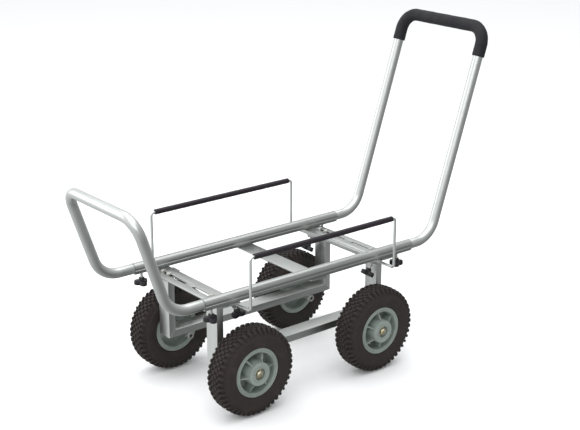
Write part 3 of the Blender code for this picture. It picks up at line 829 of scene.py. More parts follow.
class TubeTree(Tree):
    """Sweeps a round tube along its input edges, as wide at each point as the width attribute says."""

    def __init__(self) -> None:
        """Build the tree."""
        super().__init__("tube_on_path", (("Sides", "NodeSocketInt"), ("Material", "NodeSocketMaterial")))
        curve = self.node("GeometryNodeMeshToCurve", None, {"Mesh": self.given("Geometry")}).outputs[0]
        width = self.node("GeometryNodeInputNamedAttribute", {"data_type": "FLOAT"},
                          {"Name": "width"}).outputs[0]
        along = self.node("GeometryNodeSplineParameter").outputs["Length"]
        path, length = self.capture(curve, along, "FLOAT")
        ring = self.node("GeometryNodeCurvePrimitiveCircle", None,
                         {"Resolution": self.given("Sides"), "Radius": 1.0}).outputs[0]
        spot = self.node("GeometryNodeInputPosition").outputs[0]
        ring, round_spot = self.capture(ring, spot, "FLOAT_VECTOR")
        swept = self.node("GeometryNodeCurveToMesh", None,
                          {"Curve": path, "Profile Curve": ring, "Scale": width,
                           "Fill Caps": True}).outputs[0]
        split = self.node("ShaderNodeSeparateXYZ", None, {0: round_spot}).outputs
        wrap = self.node("ShaderNodeCombineXYZ", None, {
            "X": length, "Y": self.maths("MULTIPLY", split[0], 0.015),
            "Z": self.maths("MULTIPLY", split[1], 0.015),
        }).outputs[0]
        stored = self.node("GeometryNodeStoreNamedAttribute",
                           {"data_type": "FLOAT_VECTOR", "domain": "POINT"},
                           {"Geometry": swept, "Name": "wrap", "Value": wrap}).outputs[0]
        self.close(stored)

    def capture(self, geometry: bpy.types.NodeSocket, value: bpy.types.NodeSocket,
                kind: str) -> tuple[bpy.types.NodeSocket, bpy.types.NodeSocket]:
        """Keep a field's values on a geometry, and return both."""
        made = self.group.nodes.new("GeometryNodeCaptureAttribute")
        made.capture_items.new("VECTOR" if kind == "FLOAT_VECTOR" else "FLOAT", "kept")
        self.group.links.new(geometry, made.inputs[0])
        self.group.links.new(value, made.inputs[1])
        return made.outputs[0], made.outputs[1]

    def sweep(self, points: Sequence[Vector], widths: Sequence[float], sides: int,
              material: bpy.types.Material,
              name: str) -> bpy.types.Mesh:
        """A tube along points with a radius at each."""
        line = bpy.data.meshes.new(name + "_path")
        line.from_pydata([tuple(point) for point in points], [(i, i + 1) for i in range(len(points) - 1)], [])
        layer = line.attributes.new("width", "FLOAT", "POINT")
        layer.data.foreach_set("value", list(widths))
        made = self.run(line, name, Sides=sides, Material=material)
        made.shade_smooth()
        made.set_sharp_from_angle(angle=math.radians(32.0))
        return made


# ---------------------------------------------------------------- the workshop


@dataclass
class Workshop:
    """What every sub-assembly needs: the finishes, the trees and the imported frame."""

    frame: dict
    finishes: Finishes = field(default_factory=Finishes)
    ring: RingTree = field(default_factory=RingTree)
    row: RowTree = field(default_factory=RowTree)
    tube: TubeTree = field(default_factory=TubeTree)

    def joint(self, name: str) -> tuple[Vector, Vector]:
        """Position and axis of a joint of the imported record."""
        for joint in self.frame["record"]["behaviour"]["joints"]:
            if joint["name"] == name:
                return Vector(joint.get("pos_m", (0.0, 0.0, 0.0))), Vector(joint["axis"])
        raise KeyError(name)

    def centre(self, node: str) -> Vector:
        """Middle of a CAD node's box."""
        low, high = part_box(node)
        return (low + high) / 2

    def add(self, name: str, mesh: bpy.types.Mesh, finish: str, body: str, slot: str,
            *replaced: str) -> bpy.types.Object:
        """Make a piece of the cart.

        Args:
            name: the piece's name.
            mesh: its mesh, already in place.
            finish: name of its material.
            body: the CAD body it rides on.
            slot: the record's material slot; not used.
            replaced: the CAD nodes that it stands for.

        Returns:
            The piece's object.
        """
        mesh.materials.clear()
        mesh.materials.append(self.finishes[finish])
        piece = bpy.data.objects.new(name, mesh)
        bpy.context.collection.objects.link(piece)
        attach(piece, body)
        if replaced:
            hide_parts(*replaced)
        LOG.info("%s on %s: %d faces", name, body, len(mesh.polygons))
        return piece

    def dress(self, node: str, finish: str) -> None:
        """Give a CAD node that stays a better material."""
        mesh = self.frame["nodes"][node].data
        mesh.materials.clear()
        mesh.materials.append(self.finishes[finish])
        LOG.info("%s keeps its CAD shape, finish %s", node, finish)


# ---------------------------------------------------------------- sub-assemblies


@dataclass
class Rails:
    """The two side rails: domed top, side grooves, flat lower lip."""

    bore: float = 0.0123
    stud_hole: float = 0.0045
    groove_depth: float = 0.0019

    def section(self, height: float) -> list[tuple[float, float]]:
        """Outline of the extrusion as (y, z) about its middle."""
        top = height / 2
        inner = top - self.groove_depth
        right = [(top * math.sin(math.radians(a)), top * math.cos(math.radians(a)), 0.0) for a in range(0, 73,
                                                                                                        6)]
        right += [(0.990 * top, 0.0036, 0.0003), (inner + 0.0002, -0.0022, 0.0005), (inner, -0.0036, 0.0005),
                  (0.980 * top, -0.0046, 0.0004), (0.955 * top, -0.0090, 0.0008),
                  (0.80 * top, -0.0112, 0.0006),
                  (0.68 * top, -0.0118, 0.0006), (0.68 * top, -0.0136, 0.0004), (0.75 * top, -0.0140, 0.0004),
                  (0.75 * top, -top, 0.0005)]
        left = [(-y, z, r) for y, z, r in reversed(right) if y > 1e-9]
        return round_corners(right + left, 2)

    def build(self, shop: Workshop) -> None:
        """Make both rails."""
        for side, _ in SIDES:
            node = f"rail_{side}"
            low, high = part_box(node)
            middle = (low + high) / 2
            body = Solid.prism(self.section(high.z - low.z), "X", low.x, high.x, node, 20.0)
            body = Solid.moved(body, Matrix.Translation((0.0, middle.y, middle.z)))
            at = (middle.y, middle.z)
            cutters = [rod_mesh(self.bore, "X", low.x - 0.01, high.x + 0.01, at, 48)]
            for end in ENDS:
                spot, _axis = shop.joint(f"handle_knob_turn_{side}_{end}")
                cutters.append(rod_mesh(self.stud_hole, "Z", low.z - 0.01, middle.z, (spot.x, spot.y), 24))
            shape = Solid.carved(body, cutters, node + "_shape", 20.0)
            shop.add(f"{node}_extrusion", shape, "rail_aluminium", "chassis", "aluminium", node)


@dataclass
class Handles:
    """Both tube handles with their shouldered spigots, and the foam grip."""

    tube: float = 0.0150
    spigot: float = 0.0119
    bend: float = 0.080
    bend_steps: int = 14
    sides: int = 48
    front: tuple[float, float, float, float, float] = (0.1056, -0.3367, 0.2761, 0.055, 0.060)
    rear: tuple[float, float, float, float, float] = (0.0857, 0.3286, 0.6201, 0.052, 0.083)
    grip: float = 0.0190
    grip_drop: float = 0.0827

    def loop(self, end_x: float, rail: Vector, outward: int, run: float, slope: float, rise: float,
             corner: float,
             spigot_len: float) -> tuple[list[Vector], list[float]]:
        """Path and radii of a handle from one spigot round to the other.

        Args:
            end_x: where the rails end.
            rail: half spacing in y and height of the rails' middle line.
            outward: -1 for the front handle, 1 for the rear one.
            run: distance from the rail's end to the leg's foot.
            slope: lean of the legs.
            rise: height of the top bar over the rails.
            corner: bend radius at the top.
            spigot_len: length inside the rail.

        Returns:
            The points and the radius at each.
        """
        foot_x = end_x + outward * run
        top = Vector((foot_x + slope * rise, 0.0, rail.z + rise))
        corners = []
        for side in (-1, 1):
            leg = [(end_x, side * rail.y, rail.z), (foot_x, side * rail.y, rail.z),
                   (top.x, side * rail.y, top.z)]
            corners += leg if side < 0 else leg[::-1]
        path = rounded_path(corners, [self.bend, corner, corner, self.bend], self.bend_steps)
        out = Vector((outward, 0.0, 0.0))
        lead = [(-spigot_len, self.spigot - 0.0008), (-spigot_len + 0.0012, self.spigot),
                (CLEAR, self.spigot),
                (2 * CLEAR, self.tube - 0.0009), (0.0010, self.tube - 0.0003), (0.0020, self.tube)]
        points = [path[0] + out * shift for shift, _ in lead] + path[1:-1]
        points += [path[-1] + out * shift for shift, _ in reversed(lead)]
        tip = [width for _, width in lead]
        widths = tip + [self.tube] * (len(path) - 2) + tip[::-1]
        return points, widths

    def build(self, shop: Workshop) -> None:
        """Make the handles and the grip."""
        low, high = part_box("rail_near")
        rail = Vector((0.0, -(low.y + high.y) / 2, (low.z + high.z) / 2))
        material = shop.finishes["tube_aluminium"]
        for name, end_x, outward, sizes in (("front", low.x, -1, self.front), ("rear", high.x, 1, self.rear)):
            points, widths = self.loop(end_x, rail, outward, *sizes)
            mesh = shop.tube.sweep(points, widths, self.sides, material, f"{name}_handle_shape")
            shop.add(f"{name}_handle_tube", mesh, "tube_aluminium", f"{name}_handle", "aluminium",
                     f"{name}_handle")
        self.build_grip(shop, high.x, rail)

    def build_grip(self, shop: Workshop, end_x: float, rail: Vector) -> None:
        """Make the foam sleeve over the tall handle's bar and upper legs."""
        run, slope, rise, corner, _ = self.rear
        top_x = end_x + run + slope * rise
        low_x = end_x + run + slope * (rise - self.grip_drop)
        low_z, top_z = rail.z + rise - self.grip_drop, rail.z + rise
        corners = [(low_x, -rail.y, low_z), (top_x, -rail.y, top_z), (top_x, rail.y, top_z),
                   (low_x, rail.y, low_z)]
        path = rounded_path(corners, [corner, corner], self.bend_steps)
        ease = [(0.0, self.tube + CLEAR), (0.0001, self.grip - 0.0016), (0.0006, self.grip - 0.0006),
                (0.0016, self.grip - 0.0001), (0.0030, self.grip)]
        start, finish = (path[1] - path[0]).normalized(), (path[-2] - path[-1]).normalized()
        points = [path[0] + start * shift for shift, _ in ease]
        widths = [width for _, width in ease]
        inner = path[1:-1]
        bar = range(len(inner) - 1)
        for index in bar:
            span = inner[index + 1] - inner[index]
            pieces = max(1, int(span.length / 0.012))
            for step in range(pieces):
                points.append(inner[index] + span * step / pieces)
                swell = 0.00035 * math.sin(len(points) * 1.7) * math.sin(len(points) * 0.61)
                widths.append(self.grip - 0.0003 + swell)
        points.append(inner[-1])
        widths.append(self.grip - 0.0003)
        points += [path[-1] + finish * shift for shift, _ in reversed(ease)]
        widths += [width for _, width in reversed(ease)]
        mesh = shop.tube.sweep(points, widths, 40, shop.finishes["grip_foam"], "grip_shape")
        shop.add("rear_grip_foam", mesh, "grip_foam", "rear_handle", "foam", "rear_grip")


@dataclass
class Plates:
    """The three cross plates and the screws that hold them to the rails."""

    ease: float = 0.0005
    slot_w: dict = field(default_factory=lambda: {"front_cross_plate": 0.0115, "rear_cross_plate": 0.0090})
    slot_y: tuple[float, float] = (0.016, 0.136)
    thick: float = 0.0045

    def slot(self, node: str, x: float, side: int, low: float, high: float) -> bpy.types.Mesh:
        """Cutter of one round-ended slot."""
        radius = self.slot_w[node] / 2
        inner, outer = self.slot_y[0] + radius, self.slot_y[1] - radius
        outline = []
        for middle, start in ((outer * side, 0.0 if side > 0 else math.pi),
                              (inner * side, math.pi if side > 0 else 0.0)):
            for step in range(13):
                angle = start + math.pi * step / 12
                outline.append((x + radius * math.cos(angle), middle + radius * math.sin(angle)))
        return Solid.prism(outline, "Z", low - 0.01, high + 0.01, "slot")

    def section(self, node: str, low: Vector, high: Vector) -> list[tuple[float, float]]:
        """Outline of a plate as (x, z)."""
        if node != "rear_cross_plate":
            lip = 0.0014
            return round_corners([(low.x, low.z, lip), (high.x, low.z, lip), (high.x, high.z, lip),
                                  (low.x, high.z, lip)], 3)
        x, top, bottom = low.x, high.z, high.z - self.thick
        shape = [(x, top, 0.0008), (x, low.z, 0.0008), (x + 0.0035, low.z, 0.0008),
                 (x + 0.0035, bottom, 0.0012),
                 (high.x, bottom, 0.0006), (high.x, top, 0.0008), (x + 0.0185, top, 0.0008),
                 (x + 0.0175, top - 0.0012, 0.0005), (x + 0.0162, top - 0.0012, 0.0005),
                 (x + 0.0156, top, 0.0005),
                 (x + 0.0150, top, 0.0005), (x + 0.0142, top - 0.0018, 0.0006),
                 (x + 0.0058, top - 0.0018, 0.0006),
                 (x + 0.0046, top, 0.0006)]
        return round_corners(shape, 3)

    def build(self, shop: Workshop) -> None:
        """Make the plates."""
        for node, leg in (("front_cross_plate", "leg_plug_near_front"), ("middle_cross_plate", None),
                          ("rear_cross_plate", "leg_plug_near_rear")):
            low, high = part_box(node)
            mesh = Solid.prism(self.section(node, low, high), "Y", low.y, high.y, node, 20.0)
            if leg:
                x = shop.centre(leg).x
                cutters = [self.slot(node, x, side, low.z, high.z) for _, side in SIDES]
                mesh = Solid.carved(mesh, cutters, node + "_slotted", 25.0)
            mesh = Solid.eased(mesh, self.ease, node + "_shape", 2, 50.0)
            shop.add(f"{node}_bar", mesh, "plate_aluminium", "chassis", "aluminium", node)
            self.build_screws(shop, node, low, high)

    def build_screws(self, shop: Workshop, node: str, low: Vector, high: Vector) -> None:
        """Two round-headed screws under each rail, driven up through the plate."""
        head = Solid.stacked([
            (0.0, circle(0.0050)), (-0.0008, circle(0.0050)), (-0.0020, circle(0.0046)),
            (-0.0029, circle(0.0036)),
            (-0.0032, circle(0.0024)), (-0.0032, hexagon(0.0019)), (-0.0018, hexagon(0.0018)),
        ], 24, "screw", 40.0)
        bottom = high.z - self.thick
        middle = (low.x + high.x) / 2
        step = min(0.040, (high.x - low.x) * 0.6)
        rows = []
        for _, side in SIDES:
            y = side * (high.y - 0.015)
            start = middle - step / 2 + (0.004 if node.startswith("rear") else 0.0)
            first = Matrix.Translation((start, y, bottom))
            row = shop.row.run(head, "screw_row", Count=2, Step=(step, 0.0, 0.0), Jitter=0.0,
                               Material=shop.finishes["zinc_plate"])
            rows.append(Solid.moved(row, first))
        shop.add(f"{node}_screws", Solid.joined(rows, node + "_screws"), "zinc_plate", "chassis", "zinc")


@dataclass
class LegFrames:
    """The two mitred U frames of rectangular tube with plugs, track bolts and stub axles."""

    corner: float = 0.0016
    line: float = 0.00045
    bore: float = 0.0045
    tube: float = 0.0105
    journal: float = 0.0080
    shoulder: float = 0.0570
    across: float = 0.0220
    wall: float = 0.0022
    bead_step: float = 0.0024

    def section(self, across: float, wide: float, shrink: float = 0.0) -> list[tuple[float, float]]:
        """Rounded rectangle as (in the frame's plane, along Y)."""
        a, b = across / 2 - shrink, wide / 2 - shrink
        return round_corners([(-a, -b, self.corner), (a, -b, self.corner), (a, b, self.corner),
                              (-a, b, self.corner)], 3)

    def limb(self, start: tuple, end: tuple, middle_y: float, across: float, wide: float, name: str,
             open_start: bool = False) -> bpy.types.Mesh:
        """One length of tube whose ends are mitred.

        Args:
            start: (x, z) of the centre line's start and the mitre's shift per unit across, along the limb.
            end: the same for its end.
            middle_y: the frame's middle plane.
            across: tube size in the frame's plane.
            wide: tube size along Y.
            name: the mesh's name.
            open_start: whether the tube is open at its start.

        Returns:
            The limb's mesh.
        """
        (x0, z0, slant0), (x1, z1, slant1) = start, end
        along = Vector((x1 - x0, 0.0, z1 - z0)).normalized()
        perp = Vector((-along.z, 0.0, along.x))
        bm = bmesh.new()
        stations = [(x0, z0, slant0, 0.0, self.line), (x0, z0, slant0, self.line, 0.0),
                    (x1, z1, slant1, -self.line, 0.0), (x1, z1, slant1, 0.0, self.line)]
        loops = []
        for x, z, slant, shift, shrink in stations:
            base = Vector((x, middle_y, z)) + along * shift
            loops.append([bm.verts.new(base + perp * a + along * (slant * a) + Vector((0.0, b, 0.0)))
                          for a, b in self.section(across, wide, shrink)])
        if open_start:
            for depth in (0.0, 0.024):
                base = Vector((x0, middle_y, z0)) + along * depth
                loops.insert(0, [bm.verts.new(base + perp * a + Vector((0.0, b, 0.0)))
                                 for a, b in self.section(across, wide, self.wall)])
        count = len(loops[0])
        for here, there in zip(loops, loops[1:]):
            for k in range(count):
                j = (k + 1) % count
                bm.faces.new((here[k], here[j], there[j], there[k]))
        bm.faces.new(loops[0])
        bm.faces.new(loops[-1])
        return Solid.settle(bm, name, 25.0)

    def build(self, shop: Workshop) -> None:
        """Make both frames."""
        for side, sign in SIDES:
            node = f"leg_frame_{side}"
            low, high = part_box(node)
            wide = high.y - low.y
            across = self.across
            middle = (low.y + high.y) / 2
            left, right, base = low.x + across / 2, high.x - across / 2, low.z + across / 2
            limbs = (
                (self.limb((left, high.z, 0.0), (left, base, -1.0), middle, across, wide, "front_leg", True),
                 "leg"),
                (self.limb((left, base, 1.0), (right, base, -1.0), middle, across, wide, "bar"), "bar"),
                (self.limb((right, high.z, 0.0), (right, base, 1.0), middle, across, wide, "rear_leg", True),
                 "leg"),
            )
            legs = Solid.joined([mesh for mesh, kind in limbs if kind == "leg"], f"{node}_legs")
            bars = Solid.joined([mesh for mesh, kind in limbs if kind == "bar"], f"{node}_bars")
            # The legs take the lighter copy of the tube's aluminium and the bar the darker one: painted light
            # and shade on one tube.
            shop.add(f"{node}_legs", legs, "leg_aluminium_lit", f"{side}_frame", "aluminium", node)
            shop.add(f"{node}_bar", bars, "bar_aluminium_shaded", f"{side}_frame", "aluminium")
            for end in ENDS:
                tag = f"{side}_{end}"
                shop.dress(f"leg_plug_{tag}", "plug_plastic")
                self.build_bolts(shop, tag, side)
                self.build_axle(shop, tag, side, sign, low.z, (low.y, high.y))

    def build_bolts(self, shop: Workshop, tag: str, side: str) -> None:
        """Two hexagon bolts that clamp the leg through the plate's slot."""
        for where in ("inner", "outer"):
            node = f"track_bolt_{tag}_{where}"
            low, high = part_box(node)
            middle = (low + high) / 2
            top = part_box("front_cross_plate")[1].z + CLEAR
            parts = hex_bolt(0.0040, 0.0130, 0.0044, top - low.z, (0.0085, 0.0016))
            turn = Matrix.Rotation(0.4 if where == "inner" else 0.9, 4, "Z")
            mesh = Solid.moved(Solid.joined(parts, node),
                               Matrix.Translation((middle.x, middle.y, top)) @ turn)
            shop.add(f"{node}_hex", mesh, "zinc_plate", f"{side}_frame", "zinc", node)

    def build_axle(self, shop: Workshop, tag: str, side: str, sign: int, bar_z: float,
                   span: tuple[float, float]) -> None:
        """Hollow stub axle with its shoulder, saddle and weld beads under the bar."""
        node = f"axle_{tag}"
        low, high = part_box(node)
        inner, outer = (high.y, low.y) if sign < 0 else (low.y, high.y)
        centre = shop.joint(f"wheel_spin_{tag}")[0]
        length = abs(outer - inner)
        profile = round_corners([
            (self.bore, 0.0, 0.0006), (self.tube, 0.0, 0.0010), (self.tube, self.shoulder, 0.0006),
            (self.journal, self.shoulder, 0.0), (self.journal, length, 0.0005), (self.bore, length, 0.0004),
        ], 3)
        body = Solid.turned(profile, 48, node)
        flip = Matrix.Identity(4) if sign > 0 else Matrix.Scale(-1.0, 4, (0.0, 1.0, 0.0))
        mesh = Solid.moved(body, Matrix.Translation((centre.x, inner, centre.z)) @ flip)
        shop.add(f"{node}_tube", mesh, "axle_steel", f"{side}_frame", "steel", node)
        bead = Solid.stacked([(-0.0016, circle(0.0005)), (-0.0010, circle(0.0014)), (0.0, circle(0.0020)),
                              (0.0010, circle(0.0014)), (0.0016, circle(0.0005))], 10, "bead", 60.0)
        count = int((span[1] - span[0]) / self.bead_step)
        row = shop.row.run(bead, "bead_row", Count=count, Step=(0.0, self.bead_step, 0.0), Jitter=0.12,
                           Material=shop.finishes["weld_metal"])
        offset = 0.0052
        beads = [Solid.moved(row, Matrix.Translation((centre.x + lean * offset, span[0] + 0.0012,
                                                      bar_z - 0.0012)))
                 for lean in (-1, 1)]
        shop.add(f"{node}_weld", Solid.joined(beads, node + "_weld"), "weld_metal", f"{side}_frame",
                 "aluminium")


@dataclass
class Wheels:
    """Four wheels: knobbly tyre, six-ribbed plastic rim, plain bush and axle nut."""

    radius: float = 0.130
    half: float = 0.038
    carcass: float = 0.1256
    seat: float = 0.0598
    lugs: int = 46
    ribs: int = 6
    rib_thick: float = 0.0040
    rim: float = 0.0720
    barrel: float = 0.0555
    hub: float = 0.0350
    hub_out: float = 0.0444
    hub_in: float = 0.0466
    well: float = 0.0172
    well_depth: float = 0.0080
    bush: float = 0.0112
    turn: dict = field(default_factory=lambda: {"near_front": 82.5, "near_rear": -4.0, "far_front": 40.0,
                                                "far_rear": 15.0})

    def wall(self) -> list[tuple[float, float, float]]:
        """Outer half of the tyre's profile from the rim to the crown, with rounding radii."""
        return [(self.seat, 0.0276, 0.0), (0.0723, 0.0276, 0.0), (0.0726, 0.0325, 0.0010),
                (0.0750, 0.0352, 0.0016),
                (0.0775, 0.0348, 0.0008), (0.0800, 0.0356, 0.0010), (0.0900, 0.0374, 0.010),
                (0.1010, 0.0373, 0.010),
                (0.1035, 0.0370, 0.0006), (0.1045, 0.0361, 0.0006), (0.1135, 0.0328, 0.010),
                (0.1215, 0.0250, 0.009),
                (self.carcass - 0.0008, 0.0140, 0.020)]

    def tyre(self) -> bpy.types.Mesh:
        """Carcass of the tyre about the Y axis."""
        right = self.wall()
        left = [(r, -y, c) for r, y, c in reversed(right)]
        hollow = [(self.seat, -0.0190, 0.0), (0.0900, -0.0290, 0.008), (0.1150, -0.0220, 0.008),
                  (0.1150, 0.0220, 0.008), (0.0900, 0.0290, 0.008), (self.seat, 0.0190, 0.0)]
        profile = round_corners(right + [(self.carcass, 0.0, 0.0)] + left + hollow, 4)
        return Solid.turned(profile, 112, "carcass", 30.0)

    def block(self, along: float, across: float, y: float, skew: float, top: float) -> bpy.types.Mesh:
        """One crown block: tapered, with rounded top edges, standing out along X."""
        base = self.carcass - 0.0030
        bm = bmesh.new()
        levels = ((base, 1.0), (top - 0.0009, 0.84), (top - 0.0002, 0.76), (top, 0.60))
        loops = []
        for level, share in levels:
            a, b = along / 2 * share, across / 2 * share
            cut = 0.0012 * share
            shape = [(-a + cut, -b), (a - cut, -b), (a, -b + cut), (a, b - cut), (a - cut, b), (-a + cut, b),
                     (-a, b - cut), (-a, -b + cut)]
            loops.append([bm.verts.new((level, y + v + skew * u, u)) for u, v in shape])
        for here, there in zip(loops, loops[1:]):
            for k in range(8):
                bm.faces.new((here[k], here[(k + 1) % 8], there[(k + 1) % 8], there[k]))
        bm.faces.new(loops[0])
        bm.faces.new(loops[-1])
        return Solid.settle(bm, "block", 40.0)

    def shoulder(self, sign: int, along: float) -> bpy.types.Mesh:
        """One shoulder lug, running from the crown's edge down the sidewall."""
        spine = [((0.1240, 0.0205), 0.0046), ((0.1222, 0.0255), 0.0050), ((0.1190, 0.0298), 0.0042),
                 ((0.1155, 0.0324), 0.0026), ((0.1128, 0.0338), 0.0010)]
        bm = bmesh.new()
        loops = []
        for index, ((r, y), height) in enumerate(spine):
            before = Vector(spine[max(index - 1, 0)][0])
            after = Vector(spine[min(index + 1, len(spine) - 1)][0])
            tangent = (after - before).normalized()
            normal = Vector((tangent.y, -tangent.x))
            if normal.y < 0 and index > 1 or normal.x < 0 and index <= 1:
                normal = -normal
            half = along / 2 * (1.0 - 0.06 * index)
            ring = []
            for u, lift in ((-half, -0.0018), (-half * 0.86, height * 0.82), (-half * 0.66, height),
                            (0.0, height),
                            (half * 0.66, height), (half * 0.86, height * 0.82), (half, -0.0018)):
                spot = Vector((r, y)) + normal * lift
                reach = min(spot.x, math.sqrt(self.radius ** 2 - u ** 2))
                ring.append(bm.verts.new((reach, sign * min(spot.y, self.half), u)))
            loops.append(ring)
        for here, there in zip(loops, loops[1:]):
            for k in range(7):
                bm.faces.new((here[k], here[(k + 1) % 7], there[(k + 1) % 7], there[k]))
        bm.faces.new(loops[0])
        bm.faces.new(loops[-1])
        return Solid.settle(bm, "shoulder", 40.0)

    def tread(self, shop: Workshop) -> list[bpy.types.Mesh]:
        """Every lug of one tyre: a centre row, two rows each side of it and the shoulders."""
        pitch = 2 * math.pi / self.lugs
        material = shop.finishes["tyre_rubber"]
        reach = math.sqrt(self.radius ** 2 - 0.005 ** 2)
        rows = [(self.block(0.0102, 0.0088, 0.0, 0.0, reach), 0.0)]
        for sign in (-1, 1):
            rows.append((self.block(0.0098, 0.0076, sign * 0.0105, sign * 0.10, reach - 0.0004), 0.5))
            rows.append((self.block(0.0094, 0.0062, sign * 0.0190, sign * -0.12, reach - 0.0016), 0.0))
            rows.append((self.shoulder(sign, 0.0094), 0.5))
        return [shop.ring.run(mesh, "row", Count=self.lugs, Start=shift * pitch, Material=material)
                for mesh, shift in rows]

    def rim_body(self) -> bpy.types.Mesh:
        """Turned body of the rim: lips, deep dish, web and hub drum; outside is +Y."""
        web = (-0.006, -0.001)
        lip = 0.0320
        shape = [
            (self.bush + CLEAR, -self.hub_in, 0.0005), (0.0190, -self.hub_in, 0.0015),
            (0.0205, web[0], 0.0030),
            (self.barrel, web[0], 0.0030), (0.0572, -lip + 0.002, 0.0010), (0.0605, -lip, 0.0008),
            (0.0705, -lip, 0.0012), (self.rim, -lip + 0.0012, 0.0006), (self.rim, -0.0282, 0.0006),
            (0.0592, -0.0280, 0.0010), (0.0592, 0.0276, 0.0010), (self.rim, 0.0280, 0.0006),
            (self.rim, lip - 0.0008, 0.0012), (0.0695, lip, 0.0012), (0.0676, lip - 0.0022, 0.0008),
            (0.0636, lip - 0.0026, 0.0008), (0.0612, lip - 0.0002, 0.0012), (0.0592, lip - 0.0006, 0.0012),
            (self.barrel, web[1], 0.0040), (self.hub + 0.0012, web[1], 0.0040),
            (self.hub - 0.0012, self.hub_out - 0.0012, 0.0014),
            (self.hub - 0.0040, self.hub_out, 0.0010), (0.0235, self.hub_out, 0.0006),
            (0.0228, self.hub_out - 0.0010, 0.0004),
            (0.0198, self.hub_out - 0.0010, 0.0004), (0.0192, self.hub_out, 0.0005),
            (self.well, self.hub_out, 0.0008),
            (self.well - 0.0004, self.hub_out - self.well_depth, 0.0010),
            (self.bush + CLEAR, self.hub_out - self.well_depth, 0.0003),
        ]
        return Solid.turned(round_corners(shape, 3), 96, "rim_body", 30.0)

    def rib(self) -> bpy.types.Mesh:
        """One rib from the hub drum to the dish's wall, standing along X."""
        outline = round_corners([(self.hub - 0.003, -0.004, 0.0), (self.barrel + 0.0022, -0.004, 0.0),
                                 (self.barrel + 0.0022, 0.0268, 0.0010),
                                 (self.barrel - 0.0015, 0.0262, 0.0030),
                                 (self.hub + 0.0050, 0.0330, 0.0080), (self.hub - 0.003, 0.0400, 0.0)], 4)
        half = self.rib_thick / 2
        bm = bmesh.new()
        loops = []
        for z, inset in ((-half, 0.0006), (-half + 0.0006, 0.0), (half - 0.0006, 0.0), (half, 0.0006)):
            loops.append([bm.verts.new((r, y - (inset if y > 0.0 else 0.0), z)) for r, y in outline])
        count = len(outline)
        for here, there in zip(loops, loops[1:]):
            for k in range(count):
                j = (k + 1) % count
                bm.faces.new((here[k], here[j], there[j], there[k]))
        bm.faces.new(loops[0])
        bm.faces.new(loops[-1])
        return Solid.settle(bm, "rib", 35.0)

    def window(self, angle: float) -> bpy.types.Mesh:
        """Cutter of one opening through the web."""
        outline = []
        for radius, order in ((self.hub + 0.0050, 1), (self.barrel - 0.0035, -1)):
            for step in range(9):
                a = math.radians(-20.0 + 5.0 * step) * order
                outline.append((radius * math.cos(a), radius * math.sin(a)))
        cutter = Solid.prism(outline, "Y", -0.012, 0.006, "window")
        return Solid.moved(cutter, Matrix.Rotation(angle, 4, "Y"))

    def build(self, shop: Workshop) -> None:
        """Make the wheels, drawn once and placed four times."""
        tyre = Solid.joined([self.tyre(), *self.tread(shop)], "tyre")
        step = 2 * math.pi / self.ribs
        windows = [self.window(step * index) for index in range(0, self.ribs, 2)]
        dish = Solid.carved(self.rim_body(), windows, "dish", 30.0)
        ribs = shop.ring.run(self.rib(), "ribs", Count=self.ribs, Start=step / 2,
                             Material=shop.finishes["rim_plastic"])
        rim = Solid.joined([dish, ribs], "rim")
        bush = Solid.turned(round_corners([
            (0.0084, -self.hub_in, 0.0004), (self.bush, -self.hub_in, 0.0004),
            (self.bush, self.hub_out - self.well_depth - CLEAR, 0.0004),
            (0.0084, self.hub_out - self.well_depth - CLEAR, 0.0004)], 2), 48, "bush")
        for side, sign in SIDES:
            for end in ENDS:
                tag = f"{side}_{end}"
                body = f"wheel_{tag}"
                centre = shop.centre(f"tyre_{tag}")
                turn = Matrix.Rotation(math.radians(self.turn[tag]), 4, "Y")
                face = Matrix.Identity(4) if sign > 0 else Matrix.Scale(-1.0, 4, (0.0, 1.0, 0.0))
                place = Matrix.Translation(centre) @ turn @ face
                shop.add(f"tyre_{tag}_tread", Solid.moved(tyre, place), "tyre_rubber", body, "rubber",
                         f"tyre_{tag}")
                shop.add(f"rim_{tag}_dish", Solid.moved(rim, place), "rim_plastic", body, "rim", f"rim_{tag}")
                shop.add(f"hub_bush_{tag}_sleeve", Solid.moved(bush, place), "bush_plastic", body, "bush",
                         f"hub_bush_{tag}")
                self.build_nut(shop, tag, side, sign, centre)

    def build_nut(self, shop: Workshop, tag: str, side: str, sign: int, centre: Vector) -> None:
        """Domed hexagon nut and washer on the end of a stub axle."""
        floor = self.hub_out - self.well_depth + CLEAR
        flat = 0.0100
        nut = Solid.stacked([
            (0.0015, circle(flat * 0.97)), (0.0018, hexagon(flat)), (0.0062, hexagon(flat)),
            (0.0068, lambda angle: min(hexagon(flat)(angle), flat * 1.05)), (0.0070, circle(flat * 0.93)),
            (0.0088, circle(flat * 0.82)), (0.0101, circle(flat * 0.58)), (0.0108, circle(flat * 0.30)),
            (0.0110, circle(flat * 0.08)),
        ], 36, "nut", 28.0)
        washer = Solid.turned(round_corners([(0.0041, 0.0, 0.0), (0.0150, 0.0, 0.0003),
                                             (0.0150, 0.0015, 0.0005),
                                             (0.0041, 0.0015, 0.0)], 2), 40, "washer")
        washer = Solid.moved(washer, Matrix.Rotation(math.pi / 2, 4, "X"))
        shank = threaded_stud(0.0041, 0.00125, -0.020, 0.002)
        mesh = Solid.joined([nut, washer, shank], f"hub_nut_{tag}")
        stand = Matrix.Rotation(-math.pi / 2 * sign, 4, "X")
        spot = Matrix.Translation((centre.x, centre.y + sign * floor, centre.z))
        mesh = Solid.moved(mesh, spot @ stand @ Matrix.Rotation(0.3, 4, "Z"))
        shop.add(f"hub_nut_{tag}_domed", mesh, "zinc_yellow", f"{side}_frame", "zinc", f"hub_nut_{tag}")


